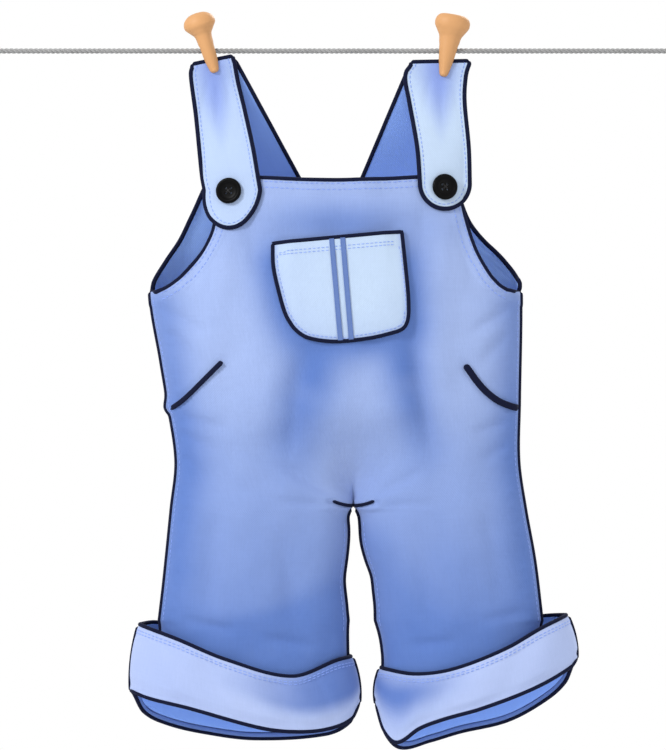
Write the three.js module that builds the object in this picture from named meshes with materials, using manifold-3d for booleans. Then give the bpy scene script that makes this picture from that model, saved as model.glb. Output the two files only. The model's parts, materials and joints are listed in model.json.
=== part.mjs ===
// Small children's bib overalls, hung by both straps from a taut clothesline with two wooden pegs.
//
// Millimetres, +Z up. The front of the garment faces -Y, so the wearer's left side is at +X.
// The origin is on the axis of the clothesline, at the middle of the garment. The garment is an
// empty, softly filled shell: a front panel and a back panel that meet at the side seams and at
// the inseams, with open neck, armholes and leg ends.
import * as THREE from 'three';
import { mergeVertices } from 'three/addons/utils/BufferGeometryUtils.js';
import Module from 'manifold-3d';

const wasm = await Module();
wasm.setup();

// ---------------------------------------------------------------- driving dimensions

const FRONT = -1;
const BACK = 1;

const CLOTH = 1.6; // wall of the panels and cuffs
const SEAM_GAP = 0.3; // between two pieces that are sewn together
const PATCH = 1.3; // pocket and welts, laid on a panel
const TAPE = 0.8;
const STRAP = 1.8;

const BIB_TOP = -93; // height of the bib's top edge at the straps
const BIB_SAG = 4.5; // how much lower that edge lies at the middle
const BACK_TOP = -101;
const BACK_SAG = 3;
const SAG_FADE = 32; // height below a top edge over which the rows lose its sag
const UNDERARM = -181;
const CROTCH = { x: 13.8, z: -343 };

const LINE_RADIUS = 2;
const LINE_ROUTE = [
  -262, -225, -188, -151, -120, -93, -62, -31, 0, 31, 62, 84, 120, 151, 188, 225, 262,
].map((x) => new THREE.Vector3(x, 0, 0));
const SLOT_HALF = 2.9; // half the slot of a peg
const FOLD_RADIUS = 1.6; // mid-thickness radius of the strap's fold at the peg

const HALF_COLUMNS = 12; // cells from a side seam to the middle of a panel
const PATCH_LIFT = 0.65; // a patch's gap to its panel, which leaves room for the panel's facets

// ---------------------------------------------------------------- curves and numbers

const mix = (a, b, t) => a + (b - a) * t;
const clamp = (t, low = 0, high = 1) => Math.min(high, Math.max(low, t));

function smooth(t) {
  const k = clamp(t);
  return k * k * (3 - 2 * k);
}

// A smooth curve through [place, value] pairs, level past its ends.
function through(...pairs) {
  const knots = [...pairs].sort((a, b) => a[0] - b[0]);
  const slopes = knots.map((_, i) => {
    const before = knots[Math.max(i - 1, 0)];
    const after = knots[Math.min(i + 1, knots.length - 1)];
    return (after[1] - before[1]) / (after[0] - before[0]);
  });
  return (place) => {
    const at = clamp(place, knots[0][0], knots[knots.length - 1][0]);
    let i = 0;
    while (i < knots.length - 2 && at > knots[i + 1][0]) i += 1;
    const [x0, y0] = knots[i];
    const [x1, y1] = knots[i + 1];
    const span = x1 - x0;
    const t = (at - x0) / span;
    const h = t * t * (3 - 2 * t);
    const bend = t * (1 - t) * span;
    return mix(y0, y1, h) + bend * (slopes[i] * (1 - t) - slopes[i + 1] * t);
  };
}

// ---------------------------------------------------------------- outline, by height

// The sides of the hollow body. Above the underarms they run on past the armholes, so that the
// panels keep one rounded form up to the neck.
const sideRight = through(
  [-93, -107], [-118, -112], [-149, -125], [-164, -133], [-181, -138], [-232, -130], [-262, -125],
  [-307, -118.5], [-343, -122], [-397, -127.5], [-427, -131],
);
const sideLeft = through(
  [-93, 104], [-118, 108], [-149, 125], [-164, 136], [-181, 138.5], [-262, 137.5], [-307, 137],
  [-343, 142], [-382, 149], [-427, 154.5],
);

// The armhole edges of the two panels.
const armFrontRight = through(
  [-93, -85], [-133, -90.5], [-149, -98], [-164, -110], [-172, -118], [-179, -129], [-181, -138],
);
const armFrontLeft = through(
  [-93, 91], [-118, 95.5], [-133, 99.5], [-149, 105], [-164, 113], [-172, 119], [-179, 128],
  [-181, 138.5],
);
const armBackRight = through(
  [-101, -97.5], [-127, -109.5], [-142, -117], [-157, -127], [-172, -136], [-181, -138],
);
const armBackLeft = through(
  [-101, 90], [-127, 101], [-142, 112.5], [-157, 127.5], [-172, 138], [-181, 138.5],
);

// The inseams.
const inseamRight = through(
  [-343, 13.8], [-346, 10.3], [-359, 10.1], [-374, 9], [-397, 6.4], [-427, 9],
);
const inseamLeft = through(
  [-343, 13.8], [-346, 17.4], [-367, 20], [-382, 24.4], [-397, 28.5], [-427, 30.4],
);

const CENTRE_SHIFT = { from: -200, over: 140 }; // heights where the middle goes over to the crotch's

function centreOf(z) {
  const shifted = smooth((CENTRE_SHIFT.from - z) / CENTRE_SHIFT.over);
  return mix((sideRight(z) + sideLeft(z)) / 2, CROTCH.x, shifted);
}

// How far the front and the back stand from the seams.
const bodyDepth = {
  [FRONT]: through([-93, 27], [-133, 32], [-181, 37], [-260, 38], [-343, 32]),
  [BACK]: through([-101, 24], [-133, 29], [-181, 35], [-260, 38], [-343, 33]),
};
const LEG_DEPTH = 31;
const LEGS_SHOW_FROM = -262; // from here down to the crotch the body divides into two legs
const VALLEY_WIDTHS = [60, 12]; // half width of the dip between the legs, where it starts and ends
const LEGS_ROUND_BY = 12; // how late, as a power, the sections turn into those of two legs
const BODY_ROUNDNESS = 0.4; // exponent of the section: 0.5 is an ellipse, less is squarer
const LEG_ROUNDNESS = 0.45;

// Long soft troughs pressed into a panel, each from one point to another, [x, z].
const troughs = {
  [FRONT]: [
    { from: [-26, -226], to: [-33, -300], depth: 3.2, width: 13 },
    { from: [57, -182], to: [71, -312], depth: 3, width: 12 },
  ],
  [BACK]: [
    { from: [-38, -190], to: [-52, -290], depth: 3, width: 14 },
    { from: [50, -200], to: [62, -300], depth: 3, width: 14 },
  ],
};

const TROUGH_RISE = 2.2; // how fast a trough deepens and ends, in its own lengths
const TROUGH_LEAD = 0.4; // its depth's share at either point

function troughDepth(face, x, z) {
  let sum = 0;
  for (const { from, to, depth, width } of troughs[face]) {
    const along = (z - from[1]) / (to[1] - from[1]);
    const off = (x - mix(from[0], to[0], along)) / width;
    const start = smooth(TROUGH_RISE * along + TROUGH_LEAD);
    const end = smooth(TROUGH_RISE * (1 - along) + TROUGH_LEAD);
    sum += depth * Math.exp(-off * off) * start * end;
  }
  return sum;
}

// How far a leg between two x stands out at a third.
function legDepth(low, high, x) {
  const u = clamp((2 * x - low - high) / (high - low), -1, 1);
  return LEG_DEPTH * (1 - u * u) ** LEG_ROUNDNESS;
}

// Outer surface of the body above the crotch: y at a place x, z.
function bodyY(face, x, z) {
  const left = sideLeft(z);
  const right = sideRight(z);
  const u = clamp((x - (left + right) / 2) / ((left - right) / 2), -1, 1);
  const swell = (1 - u * u) ** BODY_ROUNDNESS;
  const near = smooth((LEGS_SHOW_FROM - z) / (LEGS_SHOW_FROM - CROTCH.z));
  const spread = mix(...VALLEY_WIDTHS, near);
  const valley = near / (1 + ((x - CROTCH.x) / spread) ** 2);
  const legs = x < CROTCH.x ? legDepth(right, CROTCH.x, x) : legDepth(CROTCH.x, left, x);
  const depth = mix(bodyDepth[face](z) * swell * (1 - valley), legs, near ** LEGS_ROUND_BY);
  const pressed = troughDepth(face, x, z) * swell * (1 - near);
  return face * (SEAM_GAP / 2 + depth - pressed + (CLOTH + SEAM_GAP / 2) * valley ** 3);
}

// ---------------------------------------------------------------- turn-ups

// Each turn-up is a band between a top ring and a bottom ring. A ring runs from x = inner to
// x = outer, depth to the front and back, and its height changes along x.
const cuffs = {
  right: {
    top: {
      outer: -147, inner: 12.5, depth: 38,
      [FRONT]: through([-147, -430], [-118, -440], [-81, -455], [-32, -467.5], [2, -456],
        [12.5, -454]),
      [BACK]: through([-147, -430], [-137, -429], [-118, -432], [-60, -442], [12.5, -454]),
    },
    bottom: {
      outer: -154, inner: 19, depth: 41,
      [FRONT]: through([-154, -480], [-140, -485], [-109, -492], [-55, -506.5], [-30, -509.5],
        [-6, -508], [13, -500.5], [19, -489]),
      [BACK]: through([-154, -480], [-146, -495], [-129, -504.5], [-100, -512], [-60, -517],
        [-6, -513], [13, -503], [19, -489]),
    },
  },
  left: {
    top: {
      outer: 174, inner: 34, depth: 38,
      [FRONT]: through([174, -423], [154, -432], [127, -447], [88, -462], [60, -466], [34, -462.5]),
      [BACK]: through([174, -423], [155, -425], [130, -432], [88, -446], [34, -462.5]),
    },
    bottom: {
      outer: 182, inner: 30, depth: 41,
      [FRONT]: through([182, -456], [177, -462], [149, -477], [109, -492], [81, -500], [63, -507],
        [46, -518], [36, -509], [30, -490]),
      [BACK]: through([182, -456], [175, -473], [157, -489], [130, -503.5], [94, -512], [71, -518.5],
        [48, -523], [36, -511.5], [30, -490]),
    },
  },
};
const CUFF_STEPS = 2 * HALF_COLUMNS; // the same steps as the hem that stands in it
const CUFF_BULGE = 2.2;
const CUFF_TURNS_AT = 0.94; // share of the band's height where its side turns in to the fold
const FOLD_EDGE = { inset: 0.8, rise: 0.3 }; // how its inner edge is rounded off
const FOLD_INSIDE = { inset: 0.7, rise: 0.6 }; // and the corner inside the fold
// The leg just inside the mouth of its turn-up, halfway between its straight part and its hem.
const mouths = {
  right: { outer: -133.5, inner: 8.5 },
  left: { outer: 157.5, inner: 36.3 },
};
const HEM_INSET = 3.6; // from the outside of the turn-up's fold to the outside of the leg in it
const HEM_GAP = 0.6; // upright gap under the hem, which narrows where the turn-up is steep
const HEM_RISE = 4.3; // from the bottom of the fold to the lower edge of the leg's panels

// A point of a ring, a full turn being 0 to 2 pi with the front half first, moved inwards.
function ringPoint(ring, turn, inset = 0, rise = 0) {
  const centre = (ring.outer + ring.inner) / 2;
  const half = (ring.inner - ring.outer) / 2;
  const face = Math.sin(turn) >= 0 ? FRONT : BACK;
  const x = centre - half * Math.cos(turn);
  const y = -ring.depth * Math.sin(turn);
  const normal = new THREE.Vector2(-Math.cos(turn) * ring.depth * Math.sign(half),
    -Math.sin(turn) * Math.abs(half)).normalize();
  return new THREE.Vector3(x - normal.x * inset, y - normal.y * inset, ring[face](x) + rise);
}

// ---------------------------------------------------------------- closed walls from sheets

// A sheet of cells with an outer and an inner side becomes one closed wall, with a rim on every
// free edge.
class Wall {
  constructor() {
    this.points = [];
    this.cells = [];
  }

  add(outer, inner) {
    this.points.push([outer, inner]);
    return this.points.length - 1;
  }

  // Grid of point numbers, rows downwards; the outer side is the one that sees the rows run
  // downwards and the columns to its right.
  addGrid(rows) {
    for (let r = 0; r + 1 < rows.length; r += 1) {
      for (let c = 0; c + 1 < rows[r].length; c += 1) {
        this.cells.push([rows[r][c], rows[r + 1][c], rows[r + 1][c + 1], rows[r][c + 1]]);
      }
    }
  }

  geometry() {
    const count = this.points.length;
    const triangles = [];
    const edges = new Map();
    for (const cell of this.cells) {
      const [a, b, c, d] = cell;
      triangles.push([a, b, c], [a, c, d]);
      triangles.push([c + count, b + count, a + count], [d + count, c + count, a + count]);
      cell.forEach((from, i) => {
        const to = cell[(i + 1) % 4];
        const twin = `${to},${from}`;
        if (edges.has(twin)) edges.delete(twin);
        else edges.set(`${from},${to}`, [from, to]);
      });
    }
    for (const [from, to] of edges.values()) {
      triangles.push([to, from, from + count], [to, from + count, to + count]);
    }
    const sides = [...this.points.map((pair) => pair[0]), ...this.points.map((pair) => pair[1])];
    const geometry = new THREE.BufferGeometry();
    geometry.setAttribute('position', new THREE.Float32BufferAttribute(
      sides.flatMap((point) => point.toArray()), 3));
    geometry.setIndex(triangles.flat());
    geometry.computeVertexNormals();
    return geometry;
  }
}

// The direction out of a grid of points at one of them. Past an edge that is a seam, the grid
// goes on as its own mirror image in the seam's plane, y = 0.
function outwards(grid, r, c, face, seamStart, seamEnd) {
  const row = grid[r];
  const mirrored = (point) => new THREE.Vector3(point.x, -point.y, point.z);
  const last = row.length - 1;
  const before = c > 0 ? row[c - 1] : (seamStart ? mirrored(row[1]) : row[0]);
  const after = c < last ? row[c + 1] : (seamEnd ? mirrored(row[last - 1]) : row[last]);
  const above = grid[Math.max(r - 1, 0)][c];
  const below = grid[Math.min(r + 1, grid.length - 1)][c];
  const across = after.clone().sub(before);
  const down = below.clone().sub(above);
  return down.cross(across).multiplyScalar(-face).normalize();
}

// ---------------------------------------------------------------- front and back panels

// Heights of the rows of cells. Rows are closer where the armholes end and at the crotch.
const panelHeights = {
  [FRONT]: [-93, -104, -118, -133, -149, -160, -168, -175, -179, -181, -196, -212, -228, -244,
    -260, -276, -293, -309, -322, -333, -343],
  [BACK]: [-101, -113, -127, -142, -157, -168, -175, -181, -196, -212, -228, -244,
    -260, -276, -293, -309, -322, -333, -343],
};
const legHeights = [-346, -354, -366, -382, -404, -427];
const HEM_ROWS = 4;

function panelEdges(face, z) {
  if (z <= UNDERARM) return [sideRight(z), sideLeft(z)];
  return face === FRONT ? [armFrontRight(z), armFrontLeft(z)] : [armBackRight(z), armBackLeft(z)];
}

// Columns are closer together where a section turns towards a seam.
function spacing(t, seamed) {
  return mix(Math.sin((t * Math.PI) / 2), (1 - Math.cos(Math.PI * t)) / 2, seamed);
}

function bodyRow(face, z) {
  const [from, to] = panelEdges(face, z);
  const middle = centreOf(z);
  const nearCrotch = smooth((LEGS_SHOW_FROM - z) / (LEGS_SHOW_FROM - CROTCH.z));
  const [top, sag] = face === FRONT ? [BIB_TOP, BIB_SAG] : [BACK_TOP, BACK_SAG];
  const row = [];
  for (let c = -HALF_COLUMNS; c <= HALF_COLUMNS; c += 1) {
    const part = spacing(Math.abs(c) / HALF_COLUMNS, nearCrotch);
    const x = mix(middle, c < 0 ? from : to, part);
    const off = c < 0 ? (x - middle) / (from - middle) : (x - middle) / (to - middle);
    const drop = sag * (1 - off * off) * smooth((z - top + SAG_FADE) / SAG_FADE);
    row.push(new THREE.Vector3(x, bodyY(face, x, z), z - drop));
  }
  return row;
}

// One leg's level section, from the smaller x to the larger.
function legSection(face, low, high, z) {
  const centre = (low + high) / 2;
  const half = (high - low) / 2;
  const row = [];
  for (let c = 0; c <= HALF_COLUMNS; c += 1) {
    const x = centre - half * Math.cos((Math.PI * c) / HALF_COLUMNS);
    row.push(new THREE.Vector3(x, face * (SEAM_GAP / 2 + legDepth(low, high, x)), z));
  }
  return row;
}

function legRow(face, side, z) {
  const edges = side === 'right' ? [sideRight(z), inseamRight(z)] : [inseamLeft(z), sideLeft(z)];
  return legSection(face, ...edges, z);
}

// The leg's lower edge, standing in the fold of the turn-up: its outer side, or its inner side.
function hemRow(face, side, inset = HEM_INSET) {
  const { bottom } = cuffs[side];
  const row = [];
  for (let c = 0; c <= HALF_COLUMNS; c += 1) {
    const fromLow = (Math.PI * c) / HALF_COLUMNS;
    const turn = side === 'right' ? fromLow : Math.PI - fromLow;
    const point = ringPoint(bottom, face === FRONT ? turn : -turn, inset, HEM_RISE);
    const beyond = Math.max(SEAM_GAP / 2, Math.abs(point.y));
    row.push(point.setY(face * beyond));
  }
  return row;
}

function mouthRow(face, side, straight, hem) {
  const { outer, inner } = mouths[side];
  const [low, high] = [Math.min(outer, inner), Math.max(outer, inner)];
  return legSection(face, low, high, 0).map((point, c) => (
    point.setZ(mix(straight[c].z, hem[c].z, 0.5))));
}

// A point on the bend that starts at a, is at b halfway, and ends at c.
function bent(a, b, c, t) {
  return a.clone().multiplyScalar((1 - t) * (1 - 2 * t))
    .addScaledVector(b, 4 * t * (1 - t)).addScaledVector(c, t * (2 * t - 1));
}

function legRows(face, side) {
  const rows = legHeights.map((z) => legRow(face, side, z));
  const straight = rows[rows.length - 1];
  const hem = hemRow(face, side);
  const mouth = mouthRow(face, side, straight, hem);
  for (let r = 1; r <= HEM_ROWS; r += 1) {
    rows.push(straight.map((point, c) => bent(point, mouth[c], hem[c], r / HEM_ROWS)));
  }
  return rows;
}

const bodyRows = {
  [FRONT]: panelHeights[FRONT].map((z) => bodyRow(FRONT, z)),
  [BACK]: panelHeights[BACK].map((z) => bodyRow(BACK, z)),
};

// Where a row of points passes x: its y and z there.
function rowAt(row, x) {
  let i = 0;
  while (i < row.length - 2 && x > row[i + 1].x) i += 1;
  return row[i].clone().lerp(row[i + 1], (x - row[i].x) / (row[i + 1].x - row[i].x));
}

// y of a panel's facets at a place x, z. Above its top edge a panel is taken as upright.
function panelY(face, x, z) {
  const marks = bodyRows[face].map((row) => rowAt(row, x));
  let r = 0;
  while (r < marks.length - 2 && z < marks[r + 1].z) r += 1;
  const t = (z - marks[r].z) / (marks[r + 1].z - marks[r].z);
  return mix(marks[r].y, marks[r + 1].y, Math.max(0, t));
}

const flipped = (rows, face) => (face === FRONT ? rows : rows.map((row) => [...row].reverse()));

function panelGeometry(face) {
  const wall = new Wall();
  const body = panelHeights[face].map((z) => bodyRow(face, z));
  const place = (grid, r, c, seamStart, seamEnd) => {
    const out = outwards(grid, r, c, face, seamStart, seamEnd);
    return wall.add(grid[r][c], grid[r][c].clone().addScaledVector(out, -CLOTH));
  };
  const bodyNumbers = body.map((row, r) => {
    const seam = panelHeights[face][r] <= UNDERARM;
    return row.map((_, c) => place(body, r, c, seam, seam));
  });
  wall.addGrid(flipped(bodyNumbers, face));
  const crotchRow = body[body.length - 1];
  const crotchNumbers = bodyNumbers[bodyNumbers.length - 1];
  ['right', 'left'].forEach((side, half) => {
    const start = half * HALF_COLUMNS;
    const end = start + HALF_COLUMNS + 1;
    const leg = [crotchRow.slice(start, end), ...legRows(face, side)];
    const numbers = leg.map((row, r) => row.map((_, c) => place(leg, r, c, true, true)));
    numbers[0] = crotchNumbers.slice(start, end);
    hemRow(face, side, HEM_INSET + CLOTH).forEach((point, c) => {
      wall.points[numbers[leg.length - 1][c]][1].copy(point);
    });
    wall.addGrid(flipped(numbers, face));
  });
  return wall.geometry();
}

// ---------------------------------------------------------------- patches on the front panel

// A patch is a grid of [x, z] places. It lies on the front panel, a small gap off it.
function patchGeometry(places, thickness, lift = PATCH_LIFT) {
  const wall = new Wall();
  const raised = (x, z, off) => {
    const step = 6;
    const slopeX = (panelY(FRONT, x + step, z) - panelY(FRONT, x - step, z)) / (2 * step);
    const slopeZ = (panelY(FRONT, x, z + step) - panelY(FRONT, x, z - step)) / (2 * step);
    const out = new THREE.Vector3(slopeX, -1, slopeZ).normalize();
    return new THREE.Vector3(x, panelY(FRONT, x, z), z).addScaledVector(out, off);
  };
  const numbers = places.map((row) => row.map(([x, z]) => (
    wall.add(raised(x, z, lift + thickness), raised(x, z, lift)))));
  wall.addGrid(numbers);
  return wall.geometry();
}

// The bib pocket: a top edge that rises to the wearer's left, and a rounded lower edge.
const pocket = {
  topRight: [-46.2, -145.2],
  topLeft: [49.5, -136.5],
  edgeRight: through([0, -46.2], [0.26, -45.8], [0.54, -42], [0.815, -36.8], [0.955, -31.6],
    [1, -29]),
  edgeLeft: through([0, 49.5], [0.29, 51.8], [0.6, 54], [0.78, 54.6], [0.9, 53.9], [0.97, 51.8],
    [1, 49.5]),
  bottom: through([0, -209.5], [0.04, -212.2], [0.115, -215.2], [0.27, -217.6], [0.43, -217.9],
    [0.72, -215.2], [0.95, -210.7], [1, -209]),
};

// A place on the pocket, across from 0 to 1 and down from 0 to 1.
function pocketPlace(across, down) {
  const x = mix(pocket.edgeRight(down), pocket.edgeLeft(down), across);
  const top = mix(pocket.topRight[1], pocket.topLeft[1], across);
  return [x, mix(top, pocket.bottom(across), down)];
}

const POCKET_COLUMNS = 10;
const POCKET_ROWS = 8;

function pocketGeometry() {
  const places = [];
  for (let r = 0; r <= POCKET_ROWS; r += 1) {
    const down = Math.sin((r / POCKET_ROWS) * (Math.PI / 2));
    places.push([]);
    for (let c = 0; c <= POCKET_COLUMNS; c += 1) places[r].push(pocketPlace(c / POCKET_COLUMNS, down));
  }
  return patchGeometry(places, PATCH);
}

const TAPE_WIDTH = 3.8;
const TAPE_GAP = 0.45; // to the pocket, which leaves room for its facets
const TAPE_LIFT = PATCH_LIFT + PATCH + TAPE_GAP;
const TAPE_END = 0.02; // kept clear of the pocket's edges, as a share of its height
const tapes = {
  right: { top: -2.6, bottom: 4.1 },
  left: { top: 5.6, bottom: 12.1 },
};

function tapeGeometry({ top, bottom }) {
  const places = [];
  const across = (x) => (x - pocket.topRight[0]) / (pocket.topLeft[0] - pocket.topRight[0]);
  for (let r = 0; r <= POCKET_ROWS; r += 1) {
    const down = mix(TAPE_END, 1 - TAPE_END, r / POCKET_ROWS);
    const x = mix(top, bottom, down);
    const z = pocketPlace(across(x), down)[1];
    places.push([[x - TAPE_WIDTH / 2, z], [x + TAPE_WIDTH / 2, z]]);
  }
  return patchGeometry(places, TAPE, TAPE_LIFT);
}

// The welts along the mouths of the side pockets, from the front end of each mouth to the seam.
const WELT_WIDTH = 3.8;
const welts = {
  right: [[-84, -233], [-90.5, -239.5], [-98, -247], [-106, -255], [-113, -261.5], [-119, -266]],
  left: [[97, -236], [100, -240], [105, -247], [112, -255], [121, -262], [130, -266]],
};

function weltGeometry(centreline) {
  const places = centreline.map(([x, z], i) => {
    const before = centreline[Math.max(i - 1, 0)];
    const after = centreline[Math.min(i + 1, centreline.length - 1)];
    const along = new THREE.Vector2(after[0] - before[0], after[1] - before[1]).normalize();
    const across = [-along.y * (WELT_WIDTH / 2), along.x * (WELT_WIDTH / 2)];
    return [[x - across[0], z - across[1]], [x + across[0], z + across[1]]];
  });
  return patchGeometry(places, PATCH);
}

// ---------------------------------------------------------------- straps

// Each strap runs from its round front end, up over a tight fold at the peg, and down to the
// back panel. Edges are read by height; low and high are the smaller and the larger x.
const straps = {
  right: {
    fold: { low: [-107, -10.5], high: [-76.5, -4.3] },
    frontLow: through([-12, -107.6], [-19, -108], [-50, -104], [-95, -99.3], [-105, -97.5]),
    frontHigh: through([-6, -76], [-23, -73], [-46, -67.5], [-73, -61.5], [-105, -56]),
    end: { x: -76.7, tip: -79, z: -105, half: 20.7, length: 28 },
    backLow: through([-10.5, -107], [-124, -53.5]),
    backHigh: through([-4.3, -76.5], [-124, -11]),
    backEnd: -124,
  },
  left: {
    fold: { low: [57, -8.8], high: [100.5, -8] },
    frontLow: through([-9, 56.6], [-19, 52.8], [-37, 55.5], [-73, 61.5], [-100, 63.5]),
    frontHigh: through([-8, 100.8], [-19, 98], [-37, 97], [-73, 100], [-100, 100.7]),
    end: { x: 82.1, tip: 82.1, z: -100, half: 18.6, length: 18.8 },
    backLow: through([-8.8, 57], [-124, 8]),
    backHigh: through([-8, 100.5], [-124, 53]),
    backEnd: -124,
  },
};
const STRAP_COLUMNS = 4;
const STRAP_FLAT_TO = -22; // both layers hang flat together down to here, below the peg
const STRAP_LIFT = PATCH_LIFT + STRAP / 2;
const STRAP_MARGIN = 8; // a strap rests on its panel no nearer to the panel's corners
const STRAP_EASE = 0.6; // share of a soft curve in the way it comes down to its panel
const FRONT_HEIGHTS = [-94, -82, -66, -50, -36, -24, -15]; // rows between the end and the fold
const BACK_HEIGHTS = [-15, -24, -36, -50, -66, -82, -96, -110];
const END_SHARES = [1, 0.75, 0.5, 0.25]; // rows of the round end, as shares of its length
const FOLD_TURNS = [-60, -20, 20, 60]; // rows over the fold, in degrees
const LEVEL_WITHIN = { [FRONT]: 60, [BACK]: 90 }; // below a slanted fold, rows turn level over this

// Middle of the strap's thickness at a place x, z of one of its two layers.
function strapY(face, x, z) {
  const top = face === FRONT ? BIB_TOP : BACK_TOP;
  const inside = clamp(x, sideRight(top) + STRAP_MARGIN, sideLeft(top) - STRAP_MARGIN);
  const onPanel = panelY(face, inside, Math.min(z, top)) + face * STRAP_LIFT;
  const t = clamp((STRAP_FLAT_TO - z) / (STRAP_FLAT_TO - top));
  return mix(face * FOLD_RADIUS, onPanel, mix(t, smooth(t), STRAP_EASE));
}

function strapLayer(face, heights, low, high, fold) {
  return heights.map((z) => {
    const turned = 1 - smooth((fold.low[1] - z) / LEVEL_WITHIN[face]);
    const tilt = (fold.high[1] - fold.low[1]) * turned;
    const row = [];
    for (let c = 0; c <= STRAP_COLUMNS; c += 1) {
      const t = c / STRAP_COLUMNS;
      const height = z + tilt * t;
      const x = mix(low(z), high(z + tilt), t);
      row.push(new THREE.Vector3(x, strapY(face, x, height), height));
    }
    return row;
  });
}

// A place on the round front end, half an ellipse: across from -1 to 1, down from 0 to 1.
function strapEndPlace(end, across, down) {
  const x = mix(end.x, end.tip, down) + end.half * across * Math.sqrt(1 - (down * down) / 2);
  return [x, end.z - end.length * down * Math.sqrt(1 - (across * across) / 2)];
}

function strapGeometry(strap) {
  const { fold, end } = strap;
  const front = strapLayer(FRONT, [end.z, ...FRONT_HEIGHTS], strap.frontLow, strap.frontHigh, fold);
  const endRows = END_SHARES.map((down) => {
    const row = [];
    for (let c = 0; c <= STRAP_COLUMNS; c += 1) {
      const [x, z] = strapEndPlace(end, (2 * c) / STRAP_COLUMNS - 1, down);
      row.push(new THREE.Vector3(x, strapY(FRONT, x, z), z));
    }
    return row;
  });
  const turnRows = FOLD_TURNS.map((degrees) => {
    const angle = THREE.MathUtils.degToRad(degrees);
    const row = [];
    for (let c = 0; c <= STRAP_COLUMNS; c += 1) {
      const t = c / STRAP_COLUMNS;
      const top = mix(fold.low[1], fold.high[1], t) - STRAP / 2;
      row.push(new THREE.Vector3(mix(fold.low[0], fold.high[0], t), FOLD_RADIUS * Math.sin(angle),
        top - FOLD_RADIUS * (1 - Math.cos(angle))));
    }
    return row;
  });
  const back = strapLayer(BACK, [...BACK_HEIGHTS, strap.backEnd], strap.backLow, strap.backHigh,
    fold);
  const rows = [...endRows, ...front, ...turnRows, ...back];
  const wall = new Wall();
  const numbers = rows.map((row, r) => row.map((point, c) => {
    const out = outwards(rows, r, c, BACK, false, false);
    return wall.add(point.clone().addScaledVector(out, STRAP / 2),
      point.clone().addScaledVector(out, -STRAP / 2));
  }));
  wall.addGrid(numbers.reverse());
  return wall.geometry();
}

// ---------------------------------------------------------------- turn-up bands

// The band stands outside the leg, and its fold at the bottom reaches in under the leg's edge.
function cuffGeometry({ top, bottom }) {
  const groove = HEM_INSET + CLOTH;
  const section = (turn) => {
    const at = (part, inset) => {
      const bulge = CUFF_BULGE * 4 * part * (1 - part);
      return ringPoint(top, turn, inset - bulge).lerp(ringPoint(bottom, turn, inset - bulge), part);
    };
    return [
      at(0, 0), at(0.5, 0), at(CUFF_TURNS_AT, 0),
      ringPoint(bottom, turn, CLOTH, 0),
      ringPoint(bottom, turn, groove - FOLD_EDGE.inset, FOLD_EDGE.rise),
      ringPoint(bottom, turn, groove, HEM_RISE - HEM_GAP),
      ringPoint(bottom, turn, HEM_INSET, HEM_RISE - HEM_GAP),
      ringPoint(bottom, turn, CLOTH + FOLD_INSIDE.inset, CLOTH + FOLD_INSIDE.rise),
      at(0.5, CLOTH), at(0, CLOTH),
    ];
  };
  const sections = [];
  for (let i = 0; i < CUFF_STEPS; i += 1) sections.push(section((2 * Math.PI * i) / CUFF_STEPS));
  const size = sections[0].length;
  const triangles = [];
  for (let i = 0; i < CUFF_STEPS; i += 1) {
    const next = (i + 1) % CUFF_STEPS;
    for (let j = 0; j < size; j += 1) {
      const [a, b] = [i * size + j, i * size + ((j + 1) % size)];
      const [c, d] = [next * size + ((j + 1) % size), next * size + j];
      triangles.push(a, b, c, a, c, d);
    }
  }
  if (top.outer > top.inner) triangles.reverse();
  const geometry = new THREE.BufferGeometry();
  geometry.setAttribute('position', new THREE.Float32BufferAttribute(
    sections.flat().flatMap((point) => point.toArray()), 3));
  geometry.setIndex(triangles);
  geometry.computeVertexNormals();
  return geometry;
}

// ---------------------------------------------------------------- buttons, pegs and line

const BUTTON = { radius: 9.75, thickness: 3.4, rim: 1, border: 3, dished: 0.5, middle: 0.7 };
const BUTTON_SIDES = 24;
const buttonPlaces = { right: [-78.8, -105.8], left: [81.3, -102.8] };

function buttonGeometry() {
  const { radius, thickness, rim, border, dished, middle } = BUTTON;
  const profile = [
    [0, 0], [radius - rim, 0], [radius, rim], [radius, thickness - rim],
    [radius - rim, thickness], [radius - border, thickness - dished], [0, thickness - middle],
  ].map(([r, h]) => new THREE.Vector2(r, h));
  return mergeVertices(new THREE.LatheGeometry(profile, BUTTON_SIDES));
}

// A round wooden peg: height along the peg from the clothesline, half width, half depth.
const pegProfiles = {
  right: { lean: 18, x: -95, rings: [
    [30, 0, 0], [29, 6.2, 6], [25.5, 10.8, 10], [20.5, 12, 11.2], [16, 9, 9.4], [12, 6.4, 8],
    [4, 5.8, 7.8], [-6, 5.4, 7.2], [-13, 4.4, 6.2], [-16.5, 3, 5.4], [-17.6, 0, 0],
  ] },
  left: { lean: -10, x: 84.5, rings: [
    [28, 0, 0], [27.3, 9, 8], [24, 12.6, 11], [19, 13, 11.4], [14, 10.2, 9.8], [10, 8.2, 8.6],
    [2, 7.2, 8.2], [-8, 5.8, 7.4], [-15, 4.4, 6.4], [-19, 2.9, 5.6], [-20, 0, 0],
  ] },
};
const PEG_STEPS = 16;
const SLOT_TOP = 3.6; // centre of the slot's round end, above the clothesline's axis
const SLOT_REACH = 40; // past the peg's foot and sides

function solidOf(geometry) {
  geometry.deleteAttribute('normal');
  geometry.deleteAttribute('uv');
  const merged = mergeVertices(geometry);
  return new wasm.Manifold(new wasm.Mesh({
    numProp: 3,
    vertProperties: new Float32Array(merged.attributes.position.array),
    triVerts: new Uint32Array(merged.index.array),
  }));
}

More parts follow.
